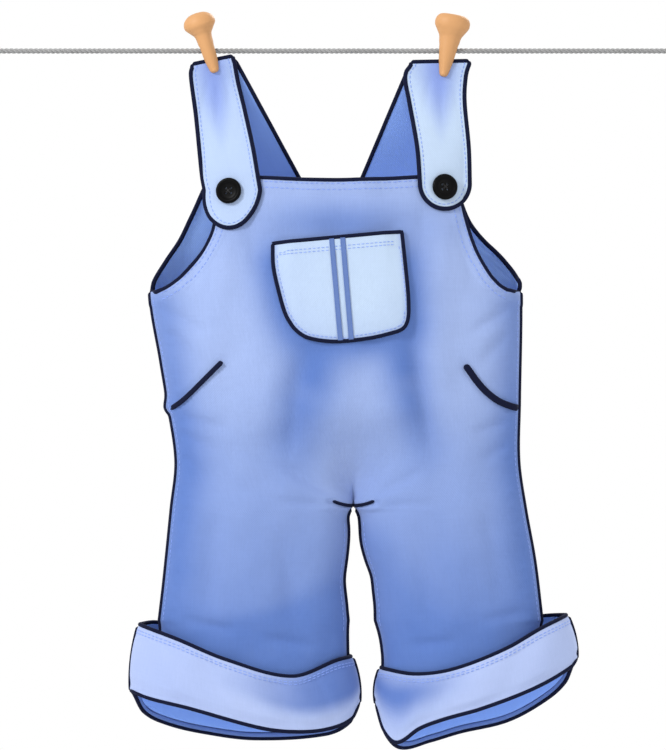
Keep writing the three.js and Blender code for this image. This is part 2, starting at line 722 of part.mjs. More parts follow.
function geometryOf(solid) {
  const { vertProperties, triVerts } = solid.getMesh();
  const geometry = new THREE.BufferGeometry();
  geometry.setAttribute('position', new THREE.BufferAttribute(vertProperties, 3));
  geometry.setIndex(new THREE.BufferAttribute(triVerts, 1));
  geometry.computeVertexNormals();
  return geometry;
}

function pegGeometry({ rings }) {
  const upwards = [...rings].reverse();
  const lathe = new THREE.LatheGeometry(upwards.map(([h, r]) => new THREE.Vector2(r, h)), PEG_STEPS);
  const { position } = lathe.attributes;
  const depthShare = through(...rings.filter(([, r]) => r > 0).map(([h, r, d]) => [h, d / r]));
  for (let i = 0; i < position.count; i += 1) {
    position.setZ(i, position.getZ(i) * depthShare(position.getY(i)));
  }
  lathe.rotateX(Math.PI / 2);
  const slot = new THREE.BoxGeometry(SLOT_REACH, 2 * SLOT_HALF, SLOT_REACH);
  slot.translate(0, 0, SLOT_TOP - SLOT_REACH / 2);
  const slotEnd = new THREE.CylinderGeometry(SLOT_HALF, SLOT_HALF, SLOT_REACH, PEG_STEPS);
  slotEnd.rotateZ(Math.PI / 2).translate(0, 0, SLOT_TOP);
  return geometryOf(solidOf(lathe).subtract(solidOf(slot).add(solidOf(slotEnd))));
}

const LINE_SIDES = 8;

function lineGeometry() {
  const section = new THREE.Shape();
  for (let i = 0; i < LINE_SIDES; i += 1) {
    const angle = (2 * Math.PI * i) / LINE_SIDES;
    const corner = [LINE_RADIUS * Math.cos(angle), LINE_RADIUS * Math.sin(angle)];
    if (i === 0) section.moveTo(...corner);
    else section.lineTo(...corner);
  }
  section.closePath();
  const route = new THREE.CatmullRomCurve3(LINE_ROUTE);
  return new THREE.ExtrudeGeometry(section, {
    steps: LINE_ROUTE.length - 1, bevelEnabled: false, extrudePath: route, curveSegments: 1,
  });
}

// A stopper knot with its short tail: round a belly, with a shoulder near both of its ends.
const KNOT = { radius: 5.6, length: 11, tail: 7, face: 2.4, shoulder: 4.6, round: 1.4 };
const KNOT_SIDES = 12;
const BELLY = [0.35, 0.65]; // the full radius, as shares of the length

function knotGeometry() {
  const { radius, length, tail, face, shoulder, round } = KNOT;
  const profile = [
    [0, 0], [face, 0], [shoulder, round], [radius, length * BELLY[0]], [radius, length * BELLY[1]],
    [shoulder, length - round], [LINE_RADIUS, length], [LINE_RADIUS, length + tail],
    [0, length + tail],
  ].map(([r, h]) => new THREE.Vector2(r, h));
  return mergeVertices(new THREE.LatheGeometry(profile, KNOT_SIDES));
}

// ---------------------------------------------------------------- materials

const cloth = (color) => new THREE.MeshStandardMaterial({ color, roughness: 0.9, metalness: 0 });
const blueCloth = cloth('#8ea8e4');
const paleCloth = cloth('#c8ddf8');
const cuffCloth = cloth('#b8c9f8');
const stripeCloth = cloth('#6984bd');
const buttonBlack = new THREE.MeshStandardMaterial({ color: '#0a0a0c', roughness: 0.35, metalness: 0 });
const pegWood = new THREE.MeshStandardMaterial({ color: '#dca36b', roughness: 0.6, metalness: 0 });
const rope = new THREE.MeshStandardMaterial({ color: '#8d8d8d', roughness: 0.85, metalness: 0 });

// ---------------------------------------------------------------- the overalls on their line

const overalls = new THREE.Group();

function addMesh(name, geometry, material) {
  const mesh = new THREE.Mesh(geometry, material);
  mesh.name = name;
  overalls.add(mesh);
  return mesh;
}

addMesh('front_panel', panelGeometry(FRONT), blueCloth);
addMesh('back_panel', panelGeometry(BACK), blueCloth);
addMesh('bib_pocket', pocketGeometry(), paleCloth);

for (const side of ['left', 'right']) {
  addMesh(`pocket_tape_${side}`, tapeGeometry(tapes[side]), stripeCloth);
  addMesh(`side_welt_${side}`, weltGeometry(welts[side]), blueCloth);
  addMesh(`strap_${side}`, strapGeometry(straps[side]), paleCloth);
  addMesh(`cuff_${side}`, cuffGeometry(cuffs[side]), cuffCloth);

  const button = addMesh(`button_${side}`, buttonGeometry(), buttonBlack);
  const [x, z] = buttonPlaces[side];
  const reach = BUTTON.radius * 0.8;
  const slope = (strapY(FRONT, x + reach, z) - strapY(FRONT, x - reach, z)) / (2 * reach);
  const lean = (strapY(FRONT, x, z + reach) - strapY(FRONT, x, z - reach)) / (2 * reach);
  const out = new THREE.Vector3(slope, -1, lean).normalize();
  button.quaternion.setFromUnitVectors(new THREE.Vector3(0, 1, 0), out);
  button.position.set(x, strapY(FRONT, x, z), z).addScaledVector(out, STRAP / 2 + 2 * SEAM_GAP);

  const peg = addMesh(`peg_${side}`, pegGeometry(pegProfiles[side]), pegWood);
  peg.position.x = pegProfiles[side].x;
  peg.rotation.y = THREE.MathUtils.degToRad(-pegProfiles[side].lean);

  const knot = addMesh(`line_knot_${side}`, knotGeometry(), rope);
  const way = side === 'left' ? 1 : -1;
  knot.rotation.z = (-way * Math.PI) / 2;
  knot.position.x = way * (LINE_ROUTE[LINE_ROUTE.length - 1].x + SEAM_GAP);
}

addMesh('clothesline', lineGeometry(), rope);

export default overalls;
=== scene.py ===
import json
import math

import bmesh
import bpy
import numpy as np
from mathutils import Matrix, Vector
from mathutils.bvhtree import BVHTree

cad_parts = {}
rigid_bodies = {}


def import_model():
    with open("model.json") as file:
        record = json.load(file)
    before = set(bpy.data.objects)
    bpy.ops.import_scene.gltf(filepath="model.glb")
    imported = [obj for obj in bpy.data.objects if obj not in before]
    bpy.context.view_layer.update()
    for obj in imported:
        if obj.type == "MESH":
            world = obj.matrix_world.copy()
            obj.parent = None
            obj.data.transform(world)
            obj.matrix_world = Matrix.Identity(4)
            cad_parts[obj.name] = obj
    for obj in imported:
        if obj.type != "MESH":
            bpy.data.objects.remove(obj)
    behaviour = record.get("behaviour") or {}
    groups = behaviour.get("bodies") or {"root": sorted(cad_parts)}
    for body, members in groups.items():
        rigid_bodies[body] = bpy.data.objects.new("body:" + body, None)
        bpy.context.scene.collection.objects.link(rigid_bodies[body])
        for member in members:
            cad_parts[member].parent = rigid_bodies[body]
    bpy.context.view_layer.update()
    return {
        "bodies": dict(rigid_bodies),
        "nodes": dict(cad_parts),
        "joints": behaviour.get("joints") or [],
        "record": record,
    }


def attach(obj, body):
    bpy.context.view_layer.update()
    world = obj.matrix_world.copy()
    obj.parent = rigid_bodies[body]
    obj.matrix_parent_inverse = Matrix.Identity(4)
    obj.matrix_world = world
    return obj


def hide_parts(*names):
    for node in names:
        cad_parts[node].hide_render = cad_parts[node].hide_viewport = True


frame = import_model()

MM = 0.001
FRONT, BACK = -1, 1
FACE_WORDS = {FRONT: "front", BACK: "back"}
SIDES = ("right", "left")

# ------------------------------------------------------------------ driving sizes, as in the model

CLOTH = 1.6
SEAM_GAP = 0.3
PATCH = 1.3
TAPE = 0.8
STRAP = 1.8
BIB_TOP, BIB_SAG = -93.0, 4.5
BACK_TOP, BACK_SAG = -101.0, 3.0
SAG_FADE = 32.0
UNDERARM = -181.0
CROTCH_X, CROTCH_Z = 13.8, -343.0
LEG_STRAIGHT_TO = -427.0
LEG_DEPTH = 31.0
LEGS_SHOW_FROM = -262.0
VALLEY_WIDTHS = (60.0, 12.0)
LEGS_ROUND_BY = 12
BODY_ROUNDNESS, LEG_ROUNDNESS = 0.4, 0.45
LINE_RADIUS = 2.0
SLOT_HALF = 2.9
FOLD_RADIUS = 1.6

top_edges = {FRONT: (BIB_TOP, BIB_SAG), BACK: (BACK_TOP, BACK_SAG)}

# ------------------------------------------------------------------ numbers and curves


def mix(a, b, t):
    return a + (b - a) * t


def smooth(t):
    k = np.clip(t, 0.0, 1.0)
    return k * k * (3 - 2 * k)


def bell(distance, width):
    return np.exp(-((distance / width) ** 2))


def through(*pairs):
    """A smooth curve through (place, value) pairs, level past its ends."""
    knots = np.array(sorted(pairs), float)
    xs, ys = knots[:, 0], knots[:, 1]
    low = np.maximum(np.arange(len(xs)) - 1, 0)
    high = np.minimum(np.arange(len(xs)) + 1, len(xs) - 1)
    slopes = (ys[high] - ys[low]) / (xs[high] - xs[low])

    def curve(place):
        at = np.clip(place, xs[0], xs[-1])
        i = np.clip(np.searchsorted(xs, at) - 1, 0, len(xs) - 2)
        span = xs[i + 1] - xs[i]
        t = (at - xs[i]) / span
        h = t * t * (3 - 2 * t)
        bend = t * (1 - t) * span
        return mix(ys[i], ys[i + 1], h) + bend * (slopes[i] * (1 - t) - slopes[i + 1] * t)

    return curve


def through_steps(values, at):
    """A smooth curve through values at 0, 1, 2 and so on, read at places along it."""
    return through(*enumerate(values))(at)


def unit(vectors):
    return vectors / np.maximum(np.linalg.norm(vectors, axis=-1, keepdims=True), 1e-12)


def run_along(points, axis=0):
    """Length run along a line of points, or along each of several lines."""
    steps = np.linalg.norm(np.diff(points, axis=axis), axis=-1)
    start = np.zeros_like(steps.take([0], axis=axis))
    return np.concatenate([start, np.cumsum(steps, axis=axis)], axis=axis)


def left_of(line):
    """Unit directions to the left-hand side of a line of (x, z) places."""
    run = unit(np.gradient(line, axis=0))
    return np.stack([-run[:, 1], run[:, 0]], -1)


def along_segment(x, z, start, end):
    """How far along a segment each place is, as a share of it, and its signed distance from it."""
    sx, sz = start
    dx, dz = end[0] - sx, end[1] - sz
    length = math.hypot(dx, dz)
    share = ((x - sx) * dx + (z - sz) * dz) / length**2
    off = ((x - sx) * dz - (z - sz) * dx) / length
    return share, off


def crease(x, z, start, end, depth, width, taper=0.35):
    """A soft trough from start to end, shallow at both its ends."""
    share, off = along_segment(x, z, start, end)
    ends = smooth(share / taper) * smooth((1 - share) / taper)
    return depth * bell(off, width) * ends


def distance_to_line(x, z, line):
    """Distance from each place to a polyline of (x, z) points."""
    best = np.full(np.shape(x), 1e9)
    for a, b in zip(line[:-1], line[1:]):
        share, _ = along_segment(x, z, a, b)
        t = np.clip(share, 0, 1)
        best = np.minimum(best, np.hypot(x - mix(a[0], b[0], t), z - mix(a[1], b[1], t)))
    return best


# ------------------------------------------------------------------ outline, by height


side_right = through(
    (-93, -107), (-118, -112), (-149, -125), (-164, -133), (-181, -138), (-232, -130),
    (-262, -125), (-307, -118.5), (-343, -122), (-397, -127.5), (-427, -131),
)
side_left = through(
    (-93, 104), (-118, 108), (-149, 125), (-164, 136), (-181, 138.5), (-262, 137.5),
    (-307, 137), (-343, 142), (-382, 149), (-427, 154.5),
)
arm_edges = {
    FRONT: (
        through((-93, -85), (-133, -90.5), (-149, -98), (-164, -110), (-172, -118),
                (-179, -129), (-181, -138)),
        through((-93, 91), (-118, 95.5), (-133, 99.5), (-149, 105), (-164, 113), (-172, 119),
                (-179, 128), (-181, 138.5)),
    ),
    BACK: (
        through((-101, -97.5), (-127, -109.5), (-142, -117), (-157, -127), (-172, -136),
                (-181, -138)),
        through((-101, 90), (-127, 101), (-142, 112.5), (-157, 127.5), (-172, 138),
                (-181, 138.5)),
    ),
}
inseam_right = through(
    (-343, 13.8), (-346, 10.3), (-359, 10.1), (-374, 9), (-397, 6.4), (-427, 9),
)
inseam_left = through(
    (-343, 13.8), (-346, 17.4), (-367, 20), (-382, 24.4), (-397, 28.5), (-427, 30.4),
)
body_depth = {
    FRONT: through((-93, 27), (-133, 32), (-181, 37), (-260, 38), (-343, 32)),
    BACK: through((-101, 24), (-133, 29), (-181, 35), (-260, 38), (-343, 33)),
}

# Long soft troughs, which the model has too: start, end, depth, width.
long_troughs = {
    FRONT: (((-26, -226), (-33, -300), 3.2, 13), ((57, -182), (71, -312), 3.0, 12)),
    BACK: (((-38, -190), (-52, -290), 3.0, 14), ((50, -200), (62, -300), 3.0, 14)),
}
TROUGH_RISE, TROUGH_LEAD = 2.2, 0.4  # how fast a trough deepens, and its start's share


CENTRE_SHIFT_FROM, CENTRE_SHIFT_OVER = -200.0, 140.0  # where the middle goes over to the crotch's


def centre_of(z):
    shifted = smooth((CENTRE_SHIFT_FROM - z) / CENTRE_SHIFT_OVER)
    return mix((side_right(z) + side_left(z)) / 2, CROTCH_X, shifted)


def leg_depth(low, high, x):
    u = np.clip((2 * x - low - high) / (high - low), -1, 1)
    return LEG_DEPTH * np.maximum(1 - u * u, 0) ** LEG_ROUNDNESS


def near_crotch(z):
    return smooth((LEGS_SHOW_FROM - z) / (LEGS_SHOW_FROM - CROTCH_Z))


def body_y(face, x, z):
    """Outer surface of the body above the crotch."""
    left, right = side_left(z), side_right(z)
    u = np.clip((x - (left + right) / 2) / ((left - right) / 2), -1, 1)
    swell = (1 - u * u) ** BODY_ROUNDNESS
    near = near_crotch(z)
    spread = mix(*VALLEY_WIDTHS, near)
    valley = near / (1 + ((x - CROTCH_X) / spread) ** 2)
    legs = np.where(x < CROTCH_X, leg_depth(right, CROTCH_X, x), leg_depth(CROTCH_X, left, x))
    depth = mix(body_depth[face](z) * swell * (1 - valley), legs, near**LEGS_ROUND_BY)
    pressed = 0
    for start, end, deep, width in long_troughs[face]:
        share = (z - start[1]) / (end[1] - start[1])
        off = (x - mix(start[0], end[0], share)) / width
        ends = smooth(TROUGH_RISE * share + TROUGH_LEAD) * smooth(
            TROUGH_RISE * (1 - share) + TROUGH_LEAD)
        pressed = pressed + deep * np.exp(-off * off) * ends
    depth = depth - pressed * swell * (1 - near)
    return face * (SEAM_GAP / 2 + depth + (CLOTH + SEAM_GAP / 2) * valley**3)


# ------------------------------------------------------------------ turn-up rings


cuffs = {
    "right": {
        "top": {
            "outer": -147, "inner": 12.5, "depth": 38,
            FRONT: through((-147, -430), (-118, -440), (-81, -455), (-32, -467.5), (2, -456),
                           (12.5, -454)),
            BACK: through((-147, -430), (-137, -429), (-118, -432), (-60, -442), (12.5, -454)),
        },
        "bottom": {
            "outer": -154, "inner": 19, "depth": 41,
            FRONT: through((-154, -480), (-140, -485), (-109, -492), (-55, -506.5),
                           (-30, -509.5), (-6, -508), (13, -500.5), (19, -489)),
            BACK: through((-154, -480), (-146, -495), (-129, -504.5), (-100, -512), (-60, -517),
                          (-6, -513), (13, -503), (19, -489)),
        },
        "mouth": {"outer": -133.5, "inner": 8.5},
    },
    "left": {
        "top": {
            "outer": 174, "inner": 34, "depth": 38,
            FRONT: through((174, -423), (154, -432), (127, -447), (88, -462), (60, -466),
                           (34, -462.5)),
            BACK: through((174, -423), (155, -425), (130, -432), (88, -446), (34, -462.5)),
        },
        "bottom": {
            "outer": 182, "inner": 30, "depth": 41,
            FRONT: through((182, -456), (177, -462), (149, -477), (109, -492), (81, -500),
                           (63, -507), (46, -518), (36, -509), (30, -490)),
            BACK: through((182, -456), (175, -473), (157, -489), (130, -503.5), (94, -512),
                          (71, -518.5), (48, -523), (36, -511.5), (30, -490)),
        },
        "mouth": {"outer": 157.5, "inner": 36.3},
    },
}
CUFF_BULGE = 2.2
HEM_INSET = 3.6
HEM_RISE = 4.3


def ring_points(ring, turn, inset=0.0, rise=0.0):
    """Points of a ring, a full turn being 0 to 2 pi with the front half first, moved inwards."""
    centre = (ring["outer"] + ring["inner"]) / 2
    half = (ring["inner"] - ring["outer"]) / 2
    x = centre - half * np.cos(turn)
    y = -ring["depth"] * np.sin(turn)
    normal = unit(np.stack([-np.cos(turn) * ring["depth"] * np.sign(half),
                            -np.sin(turn) * abs(half)], -1))
    z = np.where(np.sin(turn) >= 0, ring[FRONT](x), ring[BACK](x)) + rise
    return np.stack([x - normal[..., 0] * inset, y - normal[..., 1] * inset, z], -1)


# ------------------------------------------------------------------ meshes from sheets


def numbered(rows, columns, first=0):
    """Point numbers of a grid whose points follow each other row by row."""
    return first + np.arange(rows * columns).reshape(rows, columns)


def grid_cells(numbers):
    """Cells of a grid of point numbers, wound so that the outer side sees rows go down and
    columns go right."""
    return np.stack([numbers[:-1, :-1], numbers[1:, :-1], numbers[1:, 1:], numbers[:-1, 1:]],
                    -1).reshape(-1, 4)


def circle(sides):
    """Even angles all round."""
    return 2 * math.pi * np.arange(sides) / sides


def closed_rings(numbers):
    """Point numbers of rings, one a row, with each ring's first again at its end."""
    return np.concatenate([numbers, numbers[:, :1]], axis=1)


def tube_faces(numbers):
    """Faces of a tube with closed ends, from the point numbers of its rings, one a row. The rings
    run right-handed about the way along the tube."""
    walls = grid_cells(closed_rings(numbers))[:, ::-1].tolist()
    return [*walls, numbers[0][::-1].tolist(), numbers[-1].tolist()]


def cell_normals(points, cells):
    """A unit normal at each point of a sheet."""
    a, b, c, d = (points[cells[:, i]] for i in range(4))
    face = np.cross(c - a, d - b)
    total = np.zeros_like(points)
    for i in range(4):
        np.add.at(total, cells[:, i], face)
    return unit(total)


RIM_STEPS = 4


def wall(outer, inner, cells, uv, shade, rounding=1.0):
    """A closed wall between two sides of a sheet, with a round rim on every free edge. Returns
    its points, faces, each face's side (0 outside, 1 inside), and uv and shade at its points."""
    count = len(outer)
    out = unit(outer - inner)
    half = np.linalg.norm(outer - inner, axis=1, keepdims=True) / 2
    edges = np.concatenate([cells[:, [i, (i + 1) % 4]] for i in range(4)])
    key = edges[:, 0].astype(np.int64) * count + edges[:, 1]
    twin = edges[:, 1].astype(np.int64) * count + edges[:, 0]
    free = edges[~np.isin(key, twin)]
    outwards = np.zeros_like(outer)
    push = np.cross(unit(outer[free[:, 1]] - outer[free[:, 0]]), out[free[:, 0]])
    np.add.at(outwards, free[:, 0], push)
    np.add.at(outwards, free[:, 1], push)
    outwards = unit(outwards)
    rim = np.unique(free)
    place = np.full(count, -1)
    place[rim] = np.arange(len(rim))
    middle = (outer[rim] + inner[rim]) / 2
    reach = np.minimum(half[rim], rounding)
    points = [outer.copy(), inner.copy()]
    points[0][rim] -= outwards[rim] * reach
    points[1][rim] -= outwards[rim] * reach
    for j in range(1, RIM_STEPS):
        angle = math.pi * j / RIM_STEPS
        points.append(middle + out[rim] * half[rim] * math.cos(angle)
                      + outwards[rim] * reach * (math.sin(angle) - 1))
    loops = [np.arange(count)]
    loops += [2 * count + j * len(rim) + place for j in range(RIM_STEPS - 1)]
    loops += [np.arange(count) + count]
    faces = [cells, cells[:, ::-1] + count]
    inside = [np.zeros(len(cells), int), np.ones(len(cells), int)]
    for j in range(RIM_STEPS):
        a, b = free[:, 0], free[:, 1]
        faces.append(np.stack([loops[j][b], loops[j][a], loops[j + 1][a], loops[j + 1][b]], -1))
        inside.append(np.full(len(free), int(j == RIM_STEPS - 1)))
    repeat = [np.arange(count), np.arange(count)] + [rim] * (RIM_STEPS - 1)
    pick = np.concatenate(repeat)
    return np.concatenate(points), np.concatenate(faces), np.concatenate(inside), uv[pick], shade[pick]


sheets = {}  # outer points, inner points and cells of each cloth piece, for its edging


def free_loop(cells):
    """Numbers of a sheet's points in order round its free edge."""
    pairs = {tuple(pair) for i in range(4) for pair in cells[:, [i, (i + 1) % 4]].tolist()}
    following = {a: b for a, b in pairs if (b, a) not in pairs}
    loop = [min(following)]
    while following[loop[-1]] != loop[0]:
        loop.append(following[loop[-1]])
    return loop


def in_scene(name, data):
    """A new object in the scene."""
    thing = bpy.data.objects.new(name, data)
    bpy.context.scene.collection.objects.link(thing)
    return thing


def add_object(name, points, faces, materials, uv=None, shade=None, face_material=None):
    """A smooth mesh object from points in mm and lists of their numbers."""
    mesh = bpy.data.meshes.new(name)
    corners = faces.tolist() if isinstance(faces, np.ndarray) else faces
    mesh.from_pydata((np.asarray(points) * MM).tolist(), [], corners)
    if face_material is not None:
        mesh.polygons.foreach_set("material_index", np.asarray(face_material, np.int32))
    if uv is not None:
        order = np.empty(len(mesh.loops), np.int32)
        mesh.loops.foreach_get("vertex_index", order)
        layer = mesh.uv_layers.new(name="weave")
        layer.data.foreach_set("uv", np.asarray(uv, np.float32)[order].ravel())
    if shade is not None:
        attribute = mesh.attributes.new("shade", "FLOAT", "POINT")
        attribute.data.foreach_set("value", np.asarray(shade, np.float32))
    mesh.shade_smooth()
    for material in materials:
        mesh.materials.append(material)
    return in_scene(name, mesh)


def cloth_piece(name, outer, inner, cells, uv, shade, rounding, *materials):
    """A closed wall of cloth, noted in sheets; a second material is its inner side's."""
    sheets[name] = (outer, inner, cells)
    points, faces, inside, uv, shade = wall(outer, inner, cells, uv, shade, rounding)
    inside = inside if len(materials) > 1 else None
    return add_object(name, points, faces, materials, uv, shade, inside)


def settle(piece, slot, *nodes):
    """The piece rides on the body and stands for the model's nodes; its slot is not used."""
    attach(piece, "root")
    if nodes:
        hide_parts(*nodes)
    return piece


def tree_of(piece):
    """A ray-casting tree of a piece, in metres."""
    mesh = piece.data
    points = [v.co.copy() for v in mesh.vertices]
    return BVHTree.FromPolygons(points, [tuple(p.vertices) for p in mesh.polygons])


# ------------------------------------------------------------------ materials


def srgb(code):
    """Linear colour of a web colour code."""
    parts = [int(code[i:i + 2], 16) / 255 for i in (1, 3, 5)]
    linear = [p / 12.92 if p <= 0.04045 else ((p + 0.055) / 1.055) ** 2.4 for p in parts]
    return (*linear, 1.0)


ALBEDO = 0.70  # colours are given as they look in the studio light, which brightens them


def lit(code, share=ALBEDO):
    r, g, b, a = srgb(code)
    return (r * share, g * share, b * share, a)


def set_stops(ramp, stops):
    """Give a colour ramp node its (position, colour) stops."""
    elements = ramp.color_ramp.elements
    while len(elements) < len(stops):
        elements.new(0.5)
    for element, (position, colour) in zip(elements, stops):
        element.position = position
        element.color = colour


class Nodes:
    """Short calls to build a material's nodes."""

    def __init__(self, name, roughness, sheen=0.0, specular=0.5):
        self.material = bpy.data.materials.new(name)
        self.material.use_nodes = True
        self.tree = self.material.node_tree
        self.shader = self.tree.nodes["Principled BSDF"]
        self.shader.inputs["Roughness"].default_value = roughness
        self.shader.inputs["Sheen Weight"].default_value = sheen
        self.shader.inputs["Specular IOR Level"].default_value = specular

    def add(self, kind, links=None, **settings):
        node = self.tree.nodes.new(kind)
        for key, value in settings.items():
            setattr(node, key, value)
        for key, value in (links or {}).items():
            self.put(node.inputs[key], value)
        return node

    def put(self, socket, value):
        if isinstance(value, bpy.types.NodeSocket):
            self.tree.links.new(value, socket)
        else:
            socket.default_value = value

    def math(self, operation, a, b=0.0, c=0.0):
        node = self.add("ShaderNodeMath", {0: a, 1: b, 2: c}, operation=operation)
        return node.outputs[0]

    def noise(self, vector, scale, detail=2.0, roughness=0.5):
        node = self.add("ShaderNodeTexNoise", {"Vector": vector, "Scale": scale, "Detail": detail,
                                               "Roughness": roughness})
        return node.outputs["Fac"]

    def stretched(self, vector, x, y, z=1.0):
        node = self.add("ShaderNodeVectorMath", {0: vector, 1: (x, y, z)}, operation="MULTIPLY")
        return node.outputs[0]

    def ramp(self, fac, *stops):
        node = self.add("ShaderNodeValToRGB", {"Fac": fac})
        set_stops(node, stops)
        return node.outputs["Color"]

    def mixed(self, fac, a, b, blend="MIX"):
        node = self.add("ShaderNodeMix", data_type="RGBA", blend_type=blend)
        self.put(node.inputs[0], fac)
        self.put(node.inputs[6], a)
        self.put(node.inputs[7], b)
        return node.outputs[2]

    def wave(self, value, pitch):
        """A wave between 0 and 1 that comes back at every pitch of the value."""
        turn = self.math("MULTIPLY", value, 2 * math.pi / pitch)
        return self.math("MULTIPLY_ADD", self.math("SINE", turn), 0.5, 0.5)

    def weave_uv(self):
        """Place on the cloth, in millimetres."""
        return self.add("ShaderNodeUVMap", uv_map="weave").outputs["UV"]

    def finish(self, colour, height=None, strength=0.5, distance=0.0002, roughness=None):
        self.put(self.shader.inputs["Base Color"], colour)
        if roughness is not None:
            self.put(self.shader.inputs["Roughness"], roughness)
        if height is not None:
            bump = self.add("ShaderNodeBump", {"Height": height, "Strength": strength,
                                               "Distance": distance})
            self.put(self.shader.inputs["Normal"], bump.outputs["Normal"])
        return self.material


TWILL_PITCH = 1.05  # mm between two wales of the twill
YARN_PITCH = 0.62
TAPE_RIB = 0.9


def twill_material(name, light, dark, slub=0.10, mottle=0.07, bump=0.55, sheen=0.12):
    """Cotton twill: diagonal wales, uneven yarns, soft mottling, and painted shade from light to dark
    that the piece's own shade attribute places."""
    n = Nodes(name, roughness=0.92, sheen=sheen, specular=0.05 + sheen)
    uv = n.weave_uv()
    split = n.add("ShaderNodeSeparateXYZ", {0: uv})
    u, v = split.outputs[0], split.outputs[1]
    waver = n.noise(n.stretched(uv, 0.12, 0.12), 1.0, 2.0)
    diagonal = n.math("ADD", n.math("MULTIPLY", u, 0.62), n.math("MULTIPLY", v, 0.78))
    phase = n.math("ADD", n.math("MULTIPLY", diagonal, 2 * math.pi / TWILL_PITCH),
                   n.math("MULTIPLY", waver, 2.0))
    wale = n.math("MULTIPLY_ADD", n.math("SINE", phase), 0.5, 0.5)
    yarn = n.wave(u, YARN_PITCH)
    fuzz = n.noise(uv, 2.6, 3.0, 0.7)
    warp_slub = n.noise(n.stretched(uv, 0.85, 0.055), 1.0, 3.0, 0.6)
    weft_slub = n.noise(n.stretched(uv, 0.05, 0.7), 1.0, 2.0, 0.55)
    mottling = n.noise(n.stretched(uv, 0.035, 0.028), 1.0, 3.0, 0.6)
    # The shade attribute carries painted shade and some edge wear; the mottling adds tone that differs
    # at random.
    shade = n.add("ShaderNodeAttribute", attribute_name="shade").outputs["Fac"]
    wear_and_painted_shade = n.math("ADD", shade, n.math("MULTIPLY_ADD", mottling, mottle * 2, -mottle))
    base = n.ramp(wear_and_painted_shade, (0.0, light), (1.0, dark))
    streaks = n.math("MULTIPLY_ADD", warp_slub, 0.62, n.math("MULTIPLY", weft_slub, 0.38))
    value = n.math("MULTIPLY_ADD", streaks, 2 * slub, 1.0 - slub)
    value = n.math("MULTIPLY", value, n.math("MULTIPLY_ADD", wale, 0.10, 0.93))
    tint = n.add("ShaderNodeCombineXYZ", {0: value, 1: value, 2: value}).outputs[0]
    colour = n.mixed(1.0, base, tint, "MULTIPLY")
    height = n.math("ADD", n.math("MULTIPLY", wale, 0.55), n.math("MULTIPLY", yarn, 0.2))
    height = n.math("ADD", height, n.math("MULTIPLY", fuzz, 0.5))
    return n.finish(colour, height, strength=bump, distance=0.00025)


# Each cloth's ramp runs from its own colour to a darker one for painted shade, which each piece's
# shade attribute places.
blue_twill = twill_material("blue_twill", lit("#a7bcee"), lit("#6182cb"))
# The inner sides get a brighter blue than the studio's share, as painted light against the shade
# inside the garment.
brightened_inner_blue = twill_material("inner_twill_brightened", lit("#9bbdf6", 1.0), lit("#7ba0ea", 1.0),
                             mottle=0.2)
# The straps' lining is a darker blue of its own, brightened the same way as painted light.
brightened_lining = twill_material("lining_twill_brightened", lit("#7999dc", 1.0), lit("#6a8ad0", 1.0), mottle=0.2)
pale_twill = twill_material("pale_twill", lit("#c9def9"), lit("#8fa6ea"), slub=0.06)
cuff_twill = twill_material("cuff_twill", lit("#bccdfa"), lit("#6786cf"), slub=0.08)


def tape_material():
    n = Nodes("woven_tape", roughness=0.85, sheen=0.1, specular=0.2)
    uv = n.weave_uv()
    split = n.add("ShaderNodeSeparateXYZ", {0: uv})
    rib = n.wave(split.outputs[1], TAPE_RIB)
    fuzz = n.noise(uv, 1.9, 3.0, 0.65)
    colour = n.ramp(n.math("MULTIPLY_ADD", rib, 0.35, n.math("MULTIPLY", fuzz, 0.6)),
                    (0.1, lit("#5f7ab8")), (0.9, lit("#7590cc")))
    return n.finish(colour, n.math("ADD", rib, fuzz), strength=0.6, distance=0.0002)


def thread_material(name, code):
    n = Nodes(name, roughness=0.6, sheen=0.1, specular=0.3)
    place = n.add("ShaderNodeTexCoord").outputs["Object"]
    speck = n.noise(place, 1400.0, 2.0)
    colour = n.ramp(speck, (0.3, lit(code, 0.75)), (0.7, lit(code, 1.1)))
    return n.finish(colour, speck, strength=0.4, distance=0.0001)


def wood_material():
    """Bare beech: long grain and small dark flecks."""
    n = Nodes("peg_wood", roughness=0.55, specular=0.35)
    uv = n.weave_uv()
    grain = n.noise(n.stretched(uv, 0.8, 0.06), 1.0, 5.0, 0.65)
    flecks = n.noise(n.stretched(uv, 2.4, 0.35), 1.0, 2.0, 0.4)
    rings = n.noise(n.stretched(uv, 0.22, 0.012), 1.0, 1.0)
    rings = n.math("MULTIPLY_ADD", n.math("SINE", n.math("MULTIPLY", rings, 60.0)), 0.5, 0.5)
    tone = n.math("ADD", n.math("MULTIPLY", grain, 0.7), n.math("MULTIPLY", rings, 0.22))
    base = n.ramp(tone, (0.2, lit("#d3965c")), (0.55, lit("#e9b47d")), (0.85, lit("#f5c894")))
    dots = n.ramp(flecks, (0.66, (1, 1, 1, 1)), (0.74, (0.62, 0.5, 0.4, 1)))
    colour = n.mixed(1.0, base, dots, "MULTIPLY")
    rough = n.math("MULTIPLY_ADD", grain, 0.25, 0.42)
    return n.finish(colour, tone, strength=0.35, distance=0.0003, roughness=rough)


def rope_material():
    n = Nodes("grey_cord", roughness=0.85, sheen=0.15, specular=0.2)
    uv = n.weave_uv()
    fibres = n.noise(n.stretched(uv, 2.2, 0.5), 1.0, 4.0, 0.7)
    dirt = n.noise(n.stretched(uv, 0.06, 0.03), 1.0, 2.0)
    tone = n.math("MULTIPLY_ADD", fibres, 0.6, n.math("MULTIPLY", dirt, 0.4))
    colour = n.ramp(tone, (0.25, lit("#8a8a8a")), (0.7, lit("#bababa")))
    return n.finish(colour, fibres, strength=0.8, distance=0.0003)


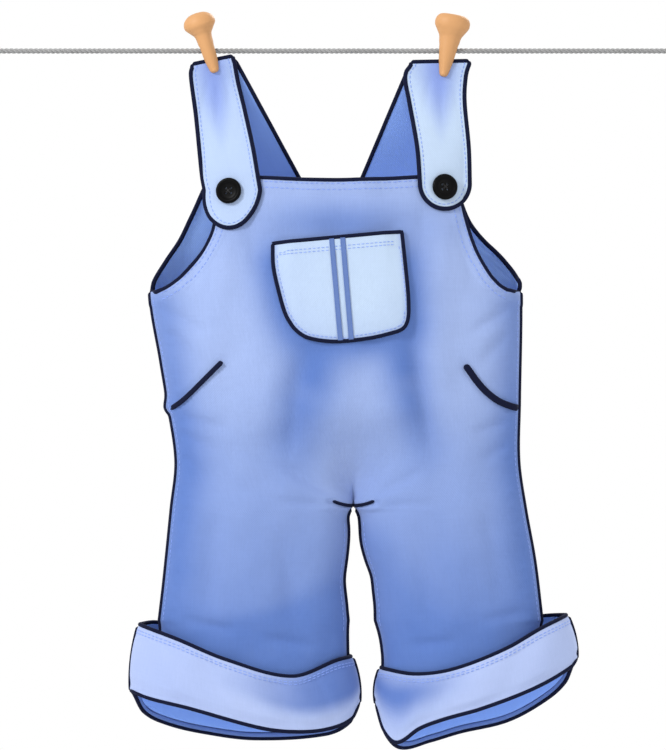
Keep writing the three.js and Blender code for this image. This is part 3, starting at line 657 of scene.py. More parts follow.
def button_material():
    n = Nodes("black_resin", roughness=0.4, specular=0.07)
    place = n.add("ShaderNodeTexCoord").outputs["Object"]
    swirl = n.noise(place, 160.0, 4.0, 0.6)
    scuffs = n.noise(n.stretched(place, 1.0, 1.0, 0.2), 900.0, 2.0, 0.6)
    colour = n.ramp(swirl, (0.3, srgb("#020202")), (0.8, srgb("#060608")))
    rough = n.math("MULTIPLY_ADD", scuffs, 0.25, 0.25)
    return n.finish(colour, scuffs, strength=0.08, distance=0.0001, roughness=rough)


dark_binding = twill_material("dark_binding", lit("#161b36"), lit("#0f1327"), slub=0.2, sheen=0.02)
tape_cloth = tape_material()
blue_thread = thread_material("blue_thread", "#7d97dc")
tape_thread = thread_material("tape_thread", "#5571b2")
black_thread = thread_material("black_thread", "#101014")
peg_wood = wood_material()
grey_cord = rope_material()
black_resin = button_material()

# ------------------------------------------------------------------ camera and studio

VIEW_HEIGHT = 0.5625  # metres of the line's plane that the picture's height shows
LENS, SENSOR = 300.0, 36.0
FLOOR_HEIGHT = -0.62
FLOOR_RADIUS = 1.15
WORLD_LEVELS = ((0.10, 0.35), (0.38, 1.0), (0.62, 1.0), (0.9, 1.0))  # from straight below to above


def add_camera():
    data = bpy.data.cameras.new("camera")
    data.lens = LENS
    data.sensor_width = SENSOR
    data.sensor_fit = "AUTO"
    data.clip_end = 60
    camera = in_scene("camera", data)
    camera.location = (-0.0015, -VIEW_HEIGHT * LENS / SENSOR, -0.243)
    camera.rotation_euler = (math.pi / 2, 0, 0)
    bpy.context.scene.camera = camera


def add_world():
    """White all round at eye level, a little brighter overhead and dimmer from below."""
    world = bpy.data.worlds.new("studio")
    world.use_nodes = True
    tree = world.node_tree
    place = tree.nodes.new("ShaderNodeTexCoord")
    split = tree.nodes.new("ShaderNodeSeparateXYZ")
    ramp = tree.nodes.new("ShaderNodeValToRGB")
    shift = tree.nodes.new("ShaderNodeMath")
    shift.operation = "MULTIPLY_ADD"
    shift.inputs[1].default_value = 0.5
    shift.inputs[2].default_value = 0.5
    tree.links.new(place.outputs["Generated"], split.inputs[0])
    tree.links.new(split.outputs["Z"], shift.inputs[0])
    tree.links.new(shift.outputs[0], ramp.inputs["Fac"])
    set_stops(ramp, [(position, (level, level, level, 1)) for position, level in WORLD_LEVELS])
    background = tree.nodes["Background"]
    tree.links.new(ramp.outputs["Color"], background.inputs["Color"])
    background.inputs["Strength"].default_value = 1.0
    bpy.context.scene.world = world
    bpy.context.scene.view_settings.view_transform = "Standard"


def area_light(name, place, target, size, power):
    data = bpy.data.lights.new(name, "AREA")
    data.shape = "DISK"
    data.size = size
    data.energy = power
    light = in_scene(name, data)
    light.location = place
    light.rotation_euler = (Vector(target) - Vector(place)).to_track_quat("-Z", "Y").to_euler()


def add_floor():
    bpy.ops.mesh.primitive_circle_add(vertices=96, radius=FLOOR_RADIUS, fill_type="NGON",
                                      location=(0, 0, FLOOR_HEIGHT))
    floor = bpy.context.object
    floor.name = "floor"
    n = Nodes("pale_floor", roughness=0.8, specular=0.2)
    place = n.add("ShaderNodeTexCoord").outputs["Object"]
    floor.data.materials.append(n.finish(n.ramp(n.noise(place, 6.0, 3.0), (0.3, srgb("#e9e9e9")),
                                                (0.7, srgb("#eeeeee")))))


add_camera()
add_world()
area_light("key", place=(-1.45, -1.25, 1.0), target=(0, 0, -0.25), size=0.5, power=34.0)
area_light("fill", place=(1.5, -1.6, 0.1), target=(0, 0, -0.3), size=1.2, power=5.5)
area_light("back_light", place=(0.9, 1.7, 1.0), target=(0, 0, -0.25), size=0.8, power=24.0)
add_floor()

# ------------------------------------------------------------------ laid rope

ROPE_PITCH = 11.0
STRANDS = 3
STRAND_RADIUS = 0.52  # shares of the rope's radius
STRAND_REACH = 0.5
STRAND_SIDES = 8
ROPE_STEP = 0.7


def resampled(path, step):
    """The same line with points about one step apart."""
    path = np.asarray(path, float)
    run = run_along(path)
    count = max(2, int(round(run[-1] / step)) + 1)
    at = np.linspace(0, run[-1], count)
    return np.stack([np.interp(at, run, path[:, i]) for i in range(3)], -1), at


def carried_frames(path):
    """Directions across a line at each of its points, carried along it without twist."""
    along = unit(np.gradient(path, axis=0))
    side = np.zeros_like(path)
    start = np.cross(along[0], (0, 0, 1))
    side[0] = unit(start if np.linalg.norm(start) > 0.1 else np.cross(along[0], (0, 1, 0)))
    for i in range(1, len(path)):
        side[i] = unit(side[i - 1] - along[i] * np.dot(side[i - 1], along[i]))
    return side, np.cross(along, side)


def tubes(name, parts, sides, material):
    """One mesh of round tubes with closed ends. Each part is a centreline, two directions across
    it, its radius, and the radius and the length run that place its weave."""
    ring = circle(sides)
    points, faces, uv = [], [], []
    for centre, one, other, size, radius, run in parts:
        numbers = numbered(len(centre), sides, sum(len(part) for part in points))
        around = (one[:, None] * np.cos(ring)[None, :, None]
                  + other[:, None] * np.sin(ring)[None, :, None])
        size = np.broadcast_to(size, len(centre))
        points.append((centre[:, None] + around * size[:, None, None]).reshape(-1, 3))
        faces += tube_faces(numbers)
        across = np.broadcast_to(ring * radius, numbers.shape)
        uv.append(np.stack([across, np.broadcast_to(run[:, None], across.shape)], -1).reshape(-1, 2))
    return add_object(name, np.concatenate(points), faces, [material], np.concatenate(uv))


def rope(name, route, radius):
    """Three strands laid round each other along a route."""
    path, run = resampled(route, ROPE_STEP)
    side, other = carried_frames(path)
    strand_radius = radius * STRAND_RADIUS
    parts = []
    for strand in range(STRANDS):
        turn = (2 * math.pi * (run / ROPE_PITCH + strand / STRANDS))[:, None]
        out = side * np.cos(turn) + other * np.sin(turn)
        onward = other * np.cos(turn) - side * np.sin(turn)
        centre = path + out * radius * STRAND_REACH
        parts.append((centre, out, onward, strand_radius, strand_radius, run))
    return tubes(name, parts, STRAND_SIDES, grey_cord)


line_route = [(x, 0.0, 0.0) for x in (-262, -225, -188, -151, -120, -93, -62, -31, 0, 31, 62, 84,
                                      120, 151, 188, 225, 262)]
KNOT_WRAPS = 3
KNOT_REACH = 3.7
KNOT_LENGTH = 11.0
KNOT_TAIL = 7.0
KNOT_EASE = 0.12  # share of the wraps in which they rise from the axis, and come back to it
KNOT_MARGIN = 1.2  # between the wraps and each end of the knot
KNOT_ROPE = 0.95  # the knot's rope is pulled thinner, to this share


def knot_route(way):
    """From the line's end, three turns round its own axis and a short straight tail."""
    t = np.linspace(0, 1, 150)
    reach = KNOT_REACH * smooth(t / KNOT_EASE) * smooth((1 - t) / KNOT_EASE)
    angle = 2 * math.pi * KNOT_WRAPS * t
    start = line_route[-1][0] + SEAM_GAP
    x = start + KNOT_MARGIN + (KNOT_LENGTH - 2 * KNOT_MARGIN) * t
    wraps = np.stack([way * x, reach * np.cos(angle), reach * np.sin(angle)], -1)
    tail = np.array([[way * (start + KNOT_LENGTH + KNOT_TAIL), 0, 0]])
    return np.concatenate([wraps, tail])


clothesline = settle(rope("clothesline_rope", line_route, LINE_RADIUS), "rope", "clothesline")
knots = [
    settle(rope(f"line_knot_{side}_wraps", knot_route(way), LINE_RADIUS * KNOT_ROPE), "rope",
           f"line_knot_{side}")
    for side, way in (("left", 1), ("right", -1))
]
resampled(line_route, 4.0)[0] * MM

# ------------------------------------------------------------------ strap outlines

straps = {
    "right": {
        "fold": {"low": (-107, -10.5), "high": (-76.5, -4.3)},
        "front_low": through((-12, -107.6), (-19, -108), (-50, -104), (-95, -99.3), (-105, -97.5)),
        "front_high": through((-6, -76), (-23, -73), (-46, -67.5), (-73, -61.5), (-105, -56)),
        "end": {"x": -76.7, "tip": -79, "z": -105, "half": 20.7, "length": 28},
        "back_low": through((-10.5, -107), (-124, -53.5)),
        "back_high": through((-4.3, -76.5), (-124, -11)),
        "back_end": -124,
    },
    "left": {
        "fold": {"low": (57, -8.8), "high": (100.5, -8)},
        "front_low": through((-9, 56.6), (-19, 52.8), (-37, 55.5), (-73, 61.5), (-100, 63.5)),
        "front_high": through((-8, 100.8), (-19, 98), (-37, 97), (-73, 100), (-100, 100.7)),
        "end": {"x": 82.1, "tip": 82.1, "z": -100, "half": 18.6, "length": 18.8},
        "back_low": through((-8.8, 57), (-124, 8)),
        "back_high": through((-8, 100.5), (-124, 53)),
        "back_end": -124,
    },
}
STRAP_FLAT_TO = -22.0
PATCH_LIFT = 0.65
STRAP_LIFT = PATCH_LIFT + STRAP / 2
STRAP_MARGIN = 8.0  # a strap rests on its panel no nearer to the panel's corners
STRAP_EASE = 0.6  # share of a soft curve in the way it comes down to its panel


def strap_y(face, x, z):
    """Middle of a strap's thickness at a place of one of its two layers."""
    top = top_edges[face][0]
    inside = np.clip(x, side_right(top) + STRAP_MARGIN, side_left(top) - STRAP_MARGIN)
    on_panel = body_y(face, inside, np.minimum(z, top)) + face * STRAP_LIFT
    t = np.clip((STRAP_FLAT_TO - z) / (STRAP_FLAT_TO - top), 0, 1)
    return mix(face * FOLD_RADIUS, on_panel, mix(t, smooth(t), STRAP_EASE))


def strap_end_line(strap, inset=0.0, steps=25):
    """The round front end's edge, half an ellipse, from the smaller x to the larger."""
    end = strap["end"]
    turn = np.linspace(0, math.pi, steps)
    x = mix(end["x"], end["tip"], np.sin(turn)) - (end["half"] - inset) * np.cos(turn)
    return np.stack([x, end["z"] - (end["length"] - inset) * np.sin(turn)], -1)


PATCH_TOPS = {FRONT: -88, BACK: -95}  # a little above the panels' top edges


def strap_patch(face, strap):
    """Outline of a strap's stretch that lies on a panel, as (x, z) points."""
    top = PATCH_TOPS[face]
    if face == BACK:
        low, high, end = strap["back_low"], strap["back_high"], strap["back_end"]
        return [(low(top), top), (low(end), end), (high(end), end), (high(top), top)]
    tip = strap_end_line(strap, steps=13).tolist()
    return [(strap["front_low"](top), top), *tip, (strap["front_high"](top), top)]


# ------------------------------------------------------------------ relief of the panels


def edge_line(face, which, steps=60):
    """An armhole's edge from the top down to the underarm, as (x, z) points."""
    top = top_edges[face][0]
    finer = UNDERARM + 10
    z = np.concatenate([np.linspace(top, finer + 1, steps), np.linspace(finer, UNDERARM, steps // 2)])
    return list(zip(arm_edges[face][which](z), z))


def top_line(face):
    """The top edge of a panel, with its sag."""
    top, sag = top_edges[face]
    ends = [arm_edges[face][i](top) for i in (0, 1)]
    middle = centre_of(top)
    x = np.linspace(ends[0], ends[1], 40)
    off = np.where(x < middle, (x - middle) / (ends[0] - middle), (x - middle) / (ends[1] - middle))
    return list(zip(x, top - sag * (1 - off * off)))


free_edges = {face: (edge_line(face, 0), top_line(face), edge_line(face, 1)) for face in (FRONT, BACK)}

# The bib pocket's outline: its edges by the share of the way down, its bottom by that across.
POCKET_EDGE_POINTS = 24  # on each of its three sewn edges
POCKET_TOP_RIGHT, POCKET_TOP_LEFT = (-46.2, -145.2), (49.5, -136.5)
pocket_edge_right = through((0, -46.2), (0.26, -45.8), (0.54, -42), (0.815, -36.8), (0.955, -31.6),
                            (1, -29))
pocket_edge_left = through((0, 49.5), (0.29, 51.8), (0.6, 54), (0.78, 54.6), (0.9, 53.9),
                           (0.97, 51.8), (1, 49.5))
pocket_bottom = through((0, -209.5), (0.04, -212.2), (0.115, -215.2), (0.27, -217.6),
                        (0.43, -217.9), (0.72, -215.2), (0.95, -210.7), (1, -209))


def pocket_place(across, down):
    x = mix(pocket_edge_right(down), pocket_edge_left(down), across)
    top = mix(POCKET_TOP_RIGHT[1], POCKET_TOP_LEFT[1], across)
    return x, mix(top, pocket_bottom(across), down)


def pocket_outline(inset=0.0):
    """The pocket's edge, from its top right corner round the bottom to its top left one."""
    t = np.linspace(0, 1, POCKET_EDGE_POINTS)
    down = np.sin(t * math.pi / 2)
    right = np.stack(pocket_place(0 * t, down), -1)
    bottom = np.stack(pocket_place(t, 0 * t + 1), -1)
    left = np.stack(pocket_place(0 * t + 1, down), -1)[::-1]
    line = np.concatenate([right, bottom[1:], left[1:]])
    return line + left_of(line) * inset


pocket_line = [tuple(p) for p in pocket_outline()]

# Side pocket mouths, from the front end of each to the side seam.
welt_lines = {
    "right": ((-84, -233), (-90.5, -239.5), (-98, -247), (-106, -255), (-113, -261.5),
              (-119, -266), (-123, -268)),
    "left": ((97, -236), (100, -240), (105, -247), (112, -255), (121, -262), (130, -266),
             (135.5, -267.5)),
}

# Placed creases: start, end, depth, width. A negative depth is a ridge.
front_creases = (
    # under the pocket's lower corners, and the ridges beside them
    ((-24, -218), (-36, -318), 1.5, 5.5), ((-40, -214), (-56, -300), -0.9, 8.0),
    ((-10, -226), (-14, -290), -0.8, 9.0), ((56, -196), (74, -320), 1.4, 5.0),
    ((42, -220), (56, -290), -0.8, 8.0), ((72, -200), (90, -290), -0.8, 9.0),
    # pull of the strap ends on the bib's corners
    ((-66, -118), (-58, -176), 0.8, 5.0), ((-92, -132), (-112, -186), 0.8, 5.0),
    ((-80, -134), (-84, -190), -0.6, 7.0), ((66, -112), (62, -170), 0.8, 5.0),
    ((90, -120), (106, -182), 0.8, 5.0), ((78, -120), (82, -180), -0.6, 7.0),
    # across the bib, between the straps
    ((-60, -104), (72, -108), 0.5, 6.0), ((-50, -120), (60, -126), -0.5, 7.0),
    # from the underarms
    ((-134, -190), (-92, -214), 1.3, 4.5), ((-132, -204), (-98, -236), 1.0, 5.0),
    ((134, -190), (96, -216), 1.2, 4.5), ((135, -206), (104, -240), 1.0, 5.0),
    # at the waist
    ((-122, -272), (-78, -284), 1.3, 4.0), ((-120, -284), (-84, -302), 1.0, 4.5),
    ((-118, -300), (-92, -326), 0.8, 5.0), ((134, -274), (100, -288), 1.1, 4.0),
    ((135, -290), (106, -310), 0.9, 4.5),
    # from the crotch
    ((6, -337), (-46, -306), 1.4, 4.0), ((4, -342), (-56, -336), 1.1, 4.5),
    ((22, -337), (72, -310), 1.3, 4.0), ((24, -342), (84, -338), 1.1, 4.5),
    ((12, -330), (2, -286), 0.7, 5.0),
    # down the legs
    ((-88, -330), (-96, -430), 1.6, 8.0), ((-40, -350), (-30, -436), 1.4, 9.0),
    ((-64, -360), (-62, -450), -1.0, 10.0), ((60, -350), (72, -440), 1.4, 8.0),
    ((112, -330), (126, -430), 1.5, 8.0), ((90, -360), (100, -445), -1.0, 10.0),
    # where the legs meet the turn-ups
    ((-118, -424), (-70, -434), 1.2, 4.0), ((-60, -438), (-10, -446), 1.2, 4.0),
    ((48, -446), (96, -440), 1.2, 4.0), ((102, -428), (148, -418), 1.1, 4.0),
)
back_creases = (
    ((-36, -186), (-54, -300), 1.4, 6.0), ((-20, -190), (-24, -280), -0.8, 9.0),
    ((50, -196), (66, -306), 1.4, 6.0), ((34, -196), (38, -280), -0.8, 9.0),
    ((-44, -124), (-70, -180), 1.0, 5.0), ((-34, -124), (-30, -176), 0.8, 5.0),
    ((36, -124), (62, -180), 1.0, 5.0), ((26, -124), (22, -176), 0.8, 5.0),
    ((-130, -190), (-86, -216), 1.3, 4.5), ((132, -190), (92, -214), 1.3, 4.5),
    ((-120, -276), (-70, -290), 1.4, 4.5), ((-118, -292), (-76, -312), 1.1, 4.5),
    ((134, -276), (88, -292), 1.3, 4.5), ((135, -294), (94, -316), 1.0, 4.5),
    ((6, -336), (-60, -316), 1.5, 4.5), ((22, -336), (86, -318), 1.5, 4.5),
    ((4, -343), (-70, -340), 1.3, 5.0), ((24, -343), (98, -342), 1.3, 5.0),
    ((-90, -340), (-84, -440), 1.6, 8.0), ((-36, -352), (-46, -440), 1.4, 8.0),
    ((66, -350), (80, -440), 1.5, 8.0), ((116, -340), (110, -430), 1.5, 8.0),
    ((-112, -430), (-50, -438), 1.2, 4.0), ((56, -442), (120, -432), 1.2, 4.0),
)
HEM_WIDTH = 9.0
HEM_STEP = 0.4
CREASE_SHARE = 1.5
# The cloth's pull under the tack at the crotch, and the pucker at the right side pocket's mouth.
smile_line = [(-4, -337.5), (4, -340.5), (13.8, -342.5), (23, -340.5), (31, -337.5)]
NOTCH_HEIGHT, NOTCH_DEPTH = -268.0, 2.6


def inside_of(x, z, line):
    """Which places lie inside a closed line of (x, z) points."""
    found = np.zeros(np.shape(x), bool)
    for a, b in zip(line, line[1:] + line[:1]):
        crosses = (a[1] > z) != (b[1] > z)
        rise = (b[1] - a[1]) or 1e-9
        found ^= crosses & (x < a[0] + (z - a[1]) / rise * (b[0] - a[0]))
    return found


covers = {
    FRONT: [pocket_line] + [strap_patch(FRONT, straps[side]) for side in SIDES],
    BACK: [strap_patch(BACK, straps[side]) for side in SIDES],
}


def uncovered(face, x, z):
    """1 where a panel shows and 0 where a pocket or a strap lies on it."""
    shows = np.ones(np.shape(x))
    for line in covers[face]:
        line = [tuple(p) for p in line]
        gap = distance_to_line(x, z, line + line[:1])
        depth = np.where(inside_of(x, z, line), gap, -gap)
        shows = np.minimum(shows, 1 - smooth((depth + 3) / 4))
    return shows


def edge_distance(face, x, z):
    lines = free_edges[face]
    return np.minimum.reduce([distance_to_line(x, z, line) for line in lines])


def inside_fade(x, z):
    """1 away from the side seams and 0 on them."""
    left, right = side_left(z), side_right(z)
    return smooth((x - right) / 9) * smooth((left - x) / 9)


def ripple(x, z, seed):
    """Unevenness of hanging cloth: mostly upright waves, and a faint crumple."""
    total = 0.42 * np.sin(x / 9.0 + 2.1 * np.sin(z / 61.0 + seed) + seed)
    total = total + 0.30 * np.sin(x / 5.3 - z / 47.0 + 2.4 * seed)
    total = total + 0.24 * np.sin(z / 12.0 + 1.7 * np.sin(x / 33.0) + 1.3 * seed)
    for k, (turn, length) in enumerate(((0.5, 4.6), (1.3, 5.7), (2.2, 3.9), (2.9, 6.6))):
        place = x * math.cos(turn) + z * math.sin(turn)
        across = x * math.sin(turn) - z * math.cos(turn)
        total = total + 0.10 * np.sin(place / length + 1.6 * np.sin(across / 15.0 + k) + seed * k)
    return total


def puckers(face, x, z):
    """Small gathers that the stitching draws along the seams and edges."""
    from_edge = edge_distance(face, x, z)
    from_side = np.minimum(x - side_right(z), side_left(z) - x)
    on_edge = 0.16 * bell(from_edge - 4.6, 2.6) * np.sin((x * 0.8 + z) / 1.05)
    on_side = 0.22 * bell(from_side - 7, 5) * np.sin((z + 0.35 * from_side) / 1.5) * (z < UNDERARM)
    return on_edge + on_side


def panel_relief(face, x, z):
    """How far the cloth stands out from the model's smooth form."""
    creases = front_creases if face == FRONT else back_creases
    relief = ripple(x, z, 0.7 if face == FRONT else 3.1)
    for start, end, depth, width in creases:
        relief = relief - CREASE_SHARE * crease(x, z, start, end, depth, width)
    relief = relief + puckers(face, x, z)
    if face == FRONT:
        gap = distance_to_line(x, z, pocket_line)
        relief = relief - 1.0 * bell(gap - 7, 7)
    smile = distance_to_line(x, z, smile_line)
    relief = relief - 1.5 * bell(smile, 1.6) + 0.5 * bell(smile - 4.0, 2.5)
    for line in welt_lines.values():
        if face == FRONT:
            relief = relief - 0.9 * bell(distance_to_line(x, z, line) - 3.4, 1.0)
    return relief * inside_fade(x, z) * uncovered(face, x, z)


def side_notch(x, z):
    """A small pucker where the right side pocket's mouth meets its seam, out to -X."""
    near_side = 1 - smooth((x - side_right(z)) / 16)
    above = z - NOTCH_HEIGHT
    return -NOTCH_DEPTH * near_side * bell(above, np.where(above > 0, 7, 3))


# ------------------------------------------------------------------ painted shade of the panels


# Painted shade, darker towards the bottom of the legs.
shade_by_height = through(
    (-93, 0.0), (-215, 0.0), (-262, 0.10), (-300, 0.32), (-350, 0.50), (-389, 0.62), (-412, 0.74),
    (-432, 0.92), (-455, 1.0),
)
# Lines past which the inner sides of the legs take painted shade, where they face each other.
dark_inner_left = through((-330, 16), (-343, 26), (-367, 40), (-404, 66), (-423, 88), (-440, 130))
dark_inner_right = through((-343, 16), (-362, 8), (-390, 0), (-404, -18), (-416, -44), (-428, -84),
                           (-440, -131))


def shade_streak(x, z, start, end, amount, widths, fades):
    """A soft streak of painted shade whose width changes from start to end."""
    share, off = along_segment(x, z, start, end)
    width = mix(widths[0], widths[1], np.clip(share, 0, 1))
    ends = smooth((share + 0.1) / fades[0]) * smooth((1.15 - share) / fades[1])
    return amount * bell(off, width) * ends


# Streaks of painted shade: start, end, strength, widths at start and end, and the shares over which
# they come in and die out. On the front they are the shadows of the folds below the pocket's lower
# corners.
front_streaks = (
    ((-13, -200), (-19, -268), 1.0, (21, 21), (0.25, 0.5)),
    ((-18, -250), (-42, -326), 0.84, (20, 22), (0.35, 0.9)),
    ((47, -200), (54, -256), 1.0, (16, 17), (0.25, 0.5)),
    ((51, -240), (73, -324), 0.86, (16, 17), (0.35, 0.9)),
)
back_streaks = (
    ((-36, -186), (-56, -322), 0.65, (13, 15), (0.3, 0.7)),
    ((48, -190), (68, -326), 0.65, (12, 13), (0.3, 0.7)),
    ((10, -128), (10, -230), 0.40, (30, 16), (0.3, 0.7)),
)


def panel_shade(face, x, z):
    """Painted shade: 0 where the cloth is palest and 1 where it is darkest; each cause leaves its
    share pale.
    """
    # Painted shade: darker towards the bottom, and along the side seams, where the body turns away.
    from_side = np.maximum(np.minimum(x - side_right(z), side_left(z) - x), 0)
    side_band = mix(0.75, 0.96, smooth((-235 - z) / 60)) * smooth((-166 - z) / 26)
    past_edge = np.maximum(from_side - mix(6, 1, smooth(x / 40 + 0.5)), 0)
    causes = [shade_by_height(z), side_band * bell(past_edge, 18)]
    if face == FRONT:
        # Painted shadow round the pocket, and a darker band across the bib at the pocket's top.
        gap = np.where(inside_of(x, z, pocket_line), 0, distance_to_line(x, z, pocket_line))
        beside = mix(0.97, 1.0, smooth((x + 30) / 60)) * smooth((-128 - z) / 34)
        causes.append(beside * bell(gap, mix(17, 18, smooth((x + 30) / 80))))
        causes.append(0.76 * bell(x - 4, 66) * bell(z + 131, 19))
        streaks = front_streaks
    else:
        streaks = back_streaks
    for start, end, amount, widths, fades in streaks:
        causes.append(shade_streak(x, z, start, end, amount, widths, fades))
    # Painted shade on the inner sides of the legs, where they face each other, and low on the left
    # leg.
    left_leg = smooth((dark_inner_left(z) - x) / 40 + 0.5) * (x > CROTCH_X)
    right_leg = smooth((x - dark_inner_right(z)) / 44 + 0.5) * (x < CROTCH_X)
    causes.append(0.55 * left_leg * smooth((-338 - z) / 34))
    causes.append(0.72 * right_leg * smooth((-362 - z) / 40))
    causes.append(0.25 * smooth((x - 40) / 40) * smooth((-350 - z) / 60))
    pale = np.ones(np.shape(x))
    for cause in causes:
        pale = pale * (1 - np.clip(cause, 0, 1))
    # Edge wear: the free edges are a little lighter.
    wear_and_painted_shade = 0.16 * bell(edge_distance(face, x, z), 1.3)
    # Painted light that lifts the shade in the valley between the legs.
    painted_valley_light = 0.34 * bell(x - 4, 17) * bell(z + 318, 26)
    return np.clip(1 - pale - wear_and_painted_shade - painted_valley_light, 0, 1)


# ------------------------------------------------------------------ front and back panels


HALF_COLUMNS = 66
HEM_ROWS = 34
RELIEF_ENDS, RELIEF_FADE = -472.0, 20.0  # where the relief dies out, inside the turn-ups


def spaced(stops, steps):
    """Heights from stop to stop, with about the given step in each stretch."""
    parts = [np.array([stops[0]], float)]
    for a, b, step in zip(stops[:-1], stops[1:], steps):
        parts.append(np.linspace(a, b, max(2, int(round(abs(b - a) / step)) + 1))[1:])
    return np.concatenate(parts)


def panel_heights(face):
    top = top_edges[face][0]
    return spaced([top, -160, -174, UNDERARM, -190, -325, CROTCH_Z], [2.1, 1.4, 0.9, 1.3, 2.2, 1.2])


LEG_HEIGHTS = spaced([CROTCH_Z, -350, -365, LEG_STRAIGHT_TO], [1.0, 1.6, 2.2])[1:]


def body_sheet(face):
    """Points of the body above the crotch, as rows of 2 * HALF_COLUMNS + 1."""
    z = panel_heights(face)[:, None]
    column = np.arange(-HALF_COLUMNS, HALF_COLUMNS + 1)[None, :] / HALF_COLUMNS
    size = np.abs(column)
    spacing = mix(np.sin(size * math.pi / 2), (1 - np.cos(math.pi * size)) / 2, near_crotch(z))
    on_arm = z > UNDERARM
    start = np.where(on_arm, arm_edges[face][0](z), side_right(z))
    end = np.where(on_arm, arm_edges[face][1](z), side_left(z))
    middle = centre_of(z)
    edge = np.where(column < 0, start, end)
    x = mix(middle, edge, spacing)
    off = (x - middle) / (edge - middle)
    top, sag = top_edges[face]
    drop = sag * (1 - off * off) * smooth((z - top + SAG_FADE) / SAG_FADE)
    heights = np.broadcast_to(z, x.shape)
    return np.stack([x, body_y(face, x, heights), heights - drop], -1)


def leg_section(face, low, high, z):
    turn = np.pi * np.arange(HALF_COLUMNS + 1)[None, :] / HALF_COLUMNS
    x = (low + high) / 2 - (high - low) / 2 * np.cos(turn)
    y = face * (SEAM_GAP / 2 + leg_depth(low, high, x))
    return np.stack([x, y, np.broadcast_to(z, x.shape)], -1)


def hem_row(face, side):
    bottom = cuffs[side]["bottom"]
    turn = np.pi * np.arange(HALF_COLUMNS + 1) / HALF_COLUMNS
    if side == "left":
        turn = np.pi - turn
    row = ring_points(bottom, turn if face == FRONT else -turn, HEM_INSET, HEM_RISE)
    row[:, 1] = face * np.maximum(SEAM_GAP / 2, np.abs(row[:, 1]))
    at_seam = np.isclose(np.sin(turn), 0, atol=1e-9)
    seam_height = bottom[FRONT](ring_points(bottom, turn)[:, 0]) + HEM_RISE
    row[:, 2] = np.where(at_seam, seam_height, row[:, 2])
    return row


def leg_sheet(face, side):
    """Points of one leg below the crotch, as rows from the smaller x to the larger."""
    z = LEG_HEIGHTS[:, None]
    edges = (side_right(z), inseam_right(z)) if side == "right" else (inseam_left(z), side_left(z))
    straight = leg_section(face, edges[0], edges[1], z)
    last, hem = straight[-1], hem_row(face, side)
    mouth_size = sorted(cuffs[side]["mouth"].values())
    mouth = leg_section(face, mouth_size[0], mouth_size[1], np.zeros((1, 1)))[0]
    mouth[:, 2] = (last[:, 2] + hem[:, 2]) / 2
    t = (np.arange(1, HEM_ROWS + 1) / HEM_ROWS)[:, None, None]
    flare = last * (1 - t) * (1 - 2 * t) + mouth * 4 * t * (1 - t) + hem * t * (2 * t - 1)
    return np.concatenate([straight, flare])


def arc_lengths(rows):
    """Length run along each row, measured from its middle column."""
    run = run_along(rows, axis=1)
    return run - run[:, [rows.shape[1] // 2]]


def panel(face):
    word = FACE_WORDS[face]
    body = body_sheet(face)
    rows, columns, _ = body.shape
    numbers = numbered(rows, columns)
    points = [body.reshape(-1, 3)]
    across = arc_lengths(body)
    uv = [np.stack([across, body[..., 2]], -1).reshape(-1, 2)]
    turned = (lambda grid: grid) if face == FRONT else (lambda grid: grid[:, ::-1])
    cells = [grid_cells(turned(numbers))]
    count = rows * columns
    for half, side in enumerate(SIDES):
        leg = leg_sheet(face, side)
        start = half * HALF_COLUMNS
        own = numbered(*leg.shape[:2], count)
        whole = np.concatenate([numbers[-1:, start:start + HALF_COLUMNS + 1], own])
        cells.append(grid_cells(turned(whole)))
        points.append(leg.reshape(-1, 3))
        middle = across[-1, start + HALF_COLUMNS // 2]
        uv.append(np.stack([arc_lengths(leg) + middle, leg[..., 2]], -1).reshape(-1, 2))
        count += own.size
    points, uv, cells = np.concatenate(points), np.concatenate(uv), np.concatenate(cells)
    x, z = points[:, 0].copy(), points[:, 2].copy()
    shows = smooth((z - RELIEF_ENDS) / RELIEF_FADE)
    points[:, 0] += side_notch(x, z)
    normals = cell_normals(points, cells)
    relief = panel_relief(face, x, z) * shows
    hem = HEM_STEP * (1 - smooth((edge_distance(face, x, z) - HEM_WIDTH) / 1.2))
    moved = points + normals * relief[:, None]
    normals = cell_normals(moved, cells)
    outer = moved + normals * hem[:, None]
    inner = moved - normals * CLOTH
    piece = cloth_piece(f"{word}_panel_cloth", outer, inner, cells, uv, panel_shade(face, x, z), 0.7,
                        blue_twill, brightened_inner_blue)
    return settle(piece, "blue_cloth", f"{word}_panel")


front_panel = panel(FRONT)
back_panel = panel(BACK)

# ------------------------------------------------------------------ patches on the front panel

SLOPE_STEP = 1.5


def slopes(form, face, x, z, step):
    """How fast a form's y changes along x and along z, taken over a step to either side."""
    along = (form(face, x + step, z) - form(face, x - step, z)) / (2 * step)
    up = (form(face, x, z + step) - form(face, x, z - step)) / (2 * step)
    return along, up


def surface(face, x, z, off=0.0):
    """Places on the panels' smooth form, and off it by a distance."""
    slope_x, slope_z = slopes(body_y, face, x, z, SLOPE_STEP)
    out = unit(np.stack([-face * slope_x, np.full(np.shape(x), float(face)), -face * slope_z], -1))
    return np.stack([x, body_y(face, x, z), z], -1) + out * np.asarray(off)[..., None]


def patch(name, x, z, lift, thickness, material, shade=None, rounding=0.6):
    """A closed patch on the front panel, from a grid of its places; lift is its underside's."""
    cells = grid_cells(numbered(*x.shape))
    outer = surface(FRONT, x, z, lift + thickness).reshape(-1, 3)
    inner = surface(FRONT, x, z, lift).reshape(-1, 3)
    uv = np.stack([x, z], -1).reshape(-1, 2)
    # Painted shade, where one is given; none elsewhere.
    painted_shade_values = np.zeros(x.size) if shade is None else np.asarray(shade).reshape(-1)
    return cloth_piece(name, outer, inner, cells, uv, painted_shade_values, rounding, material)


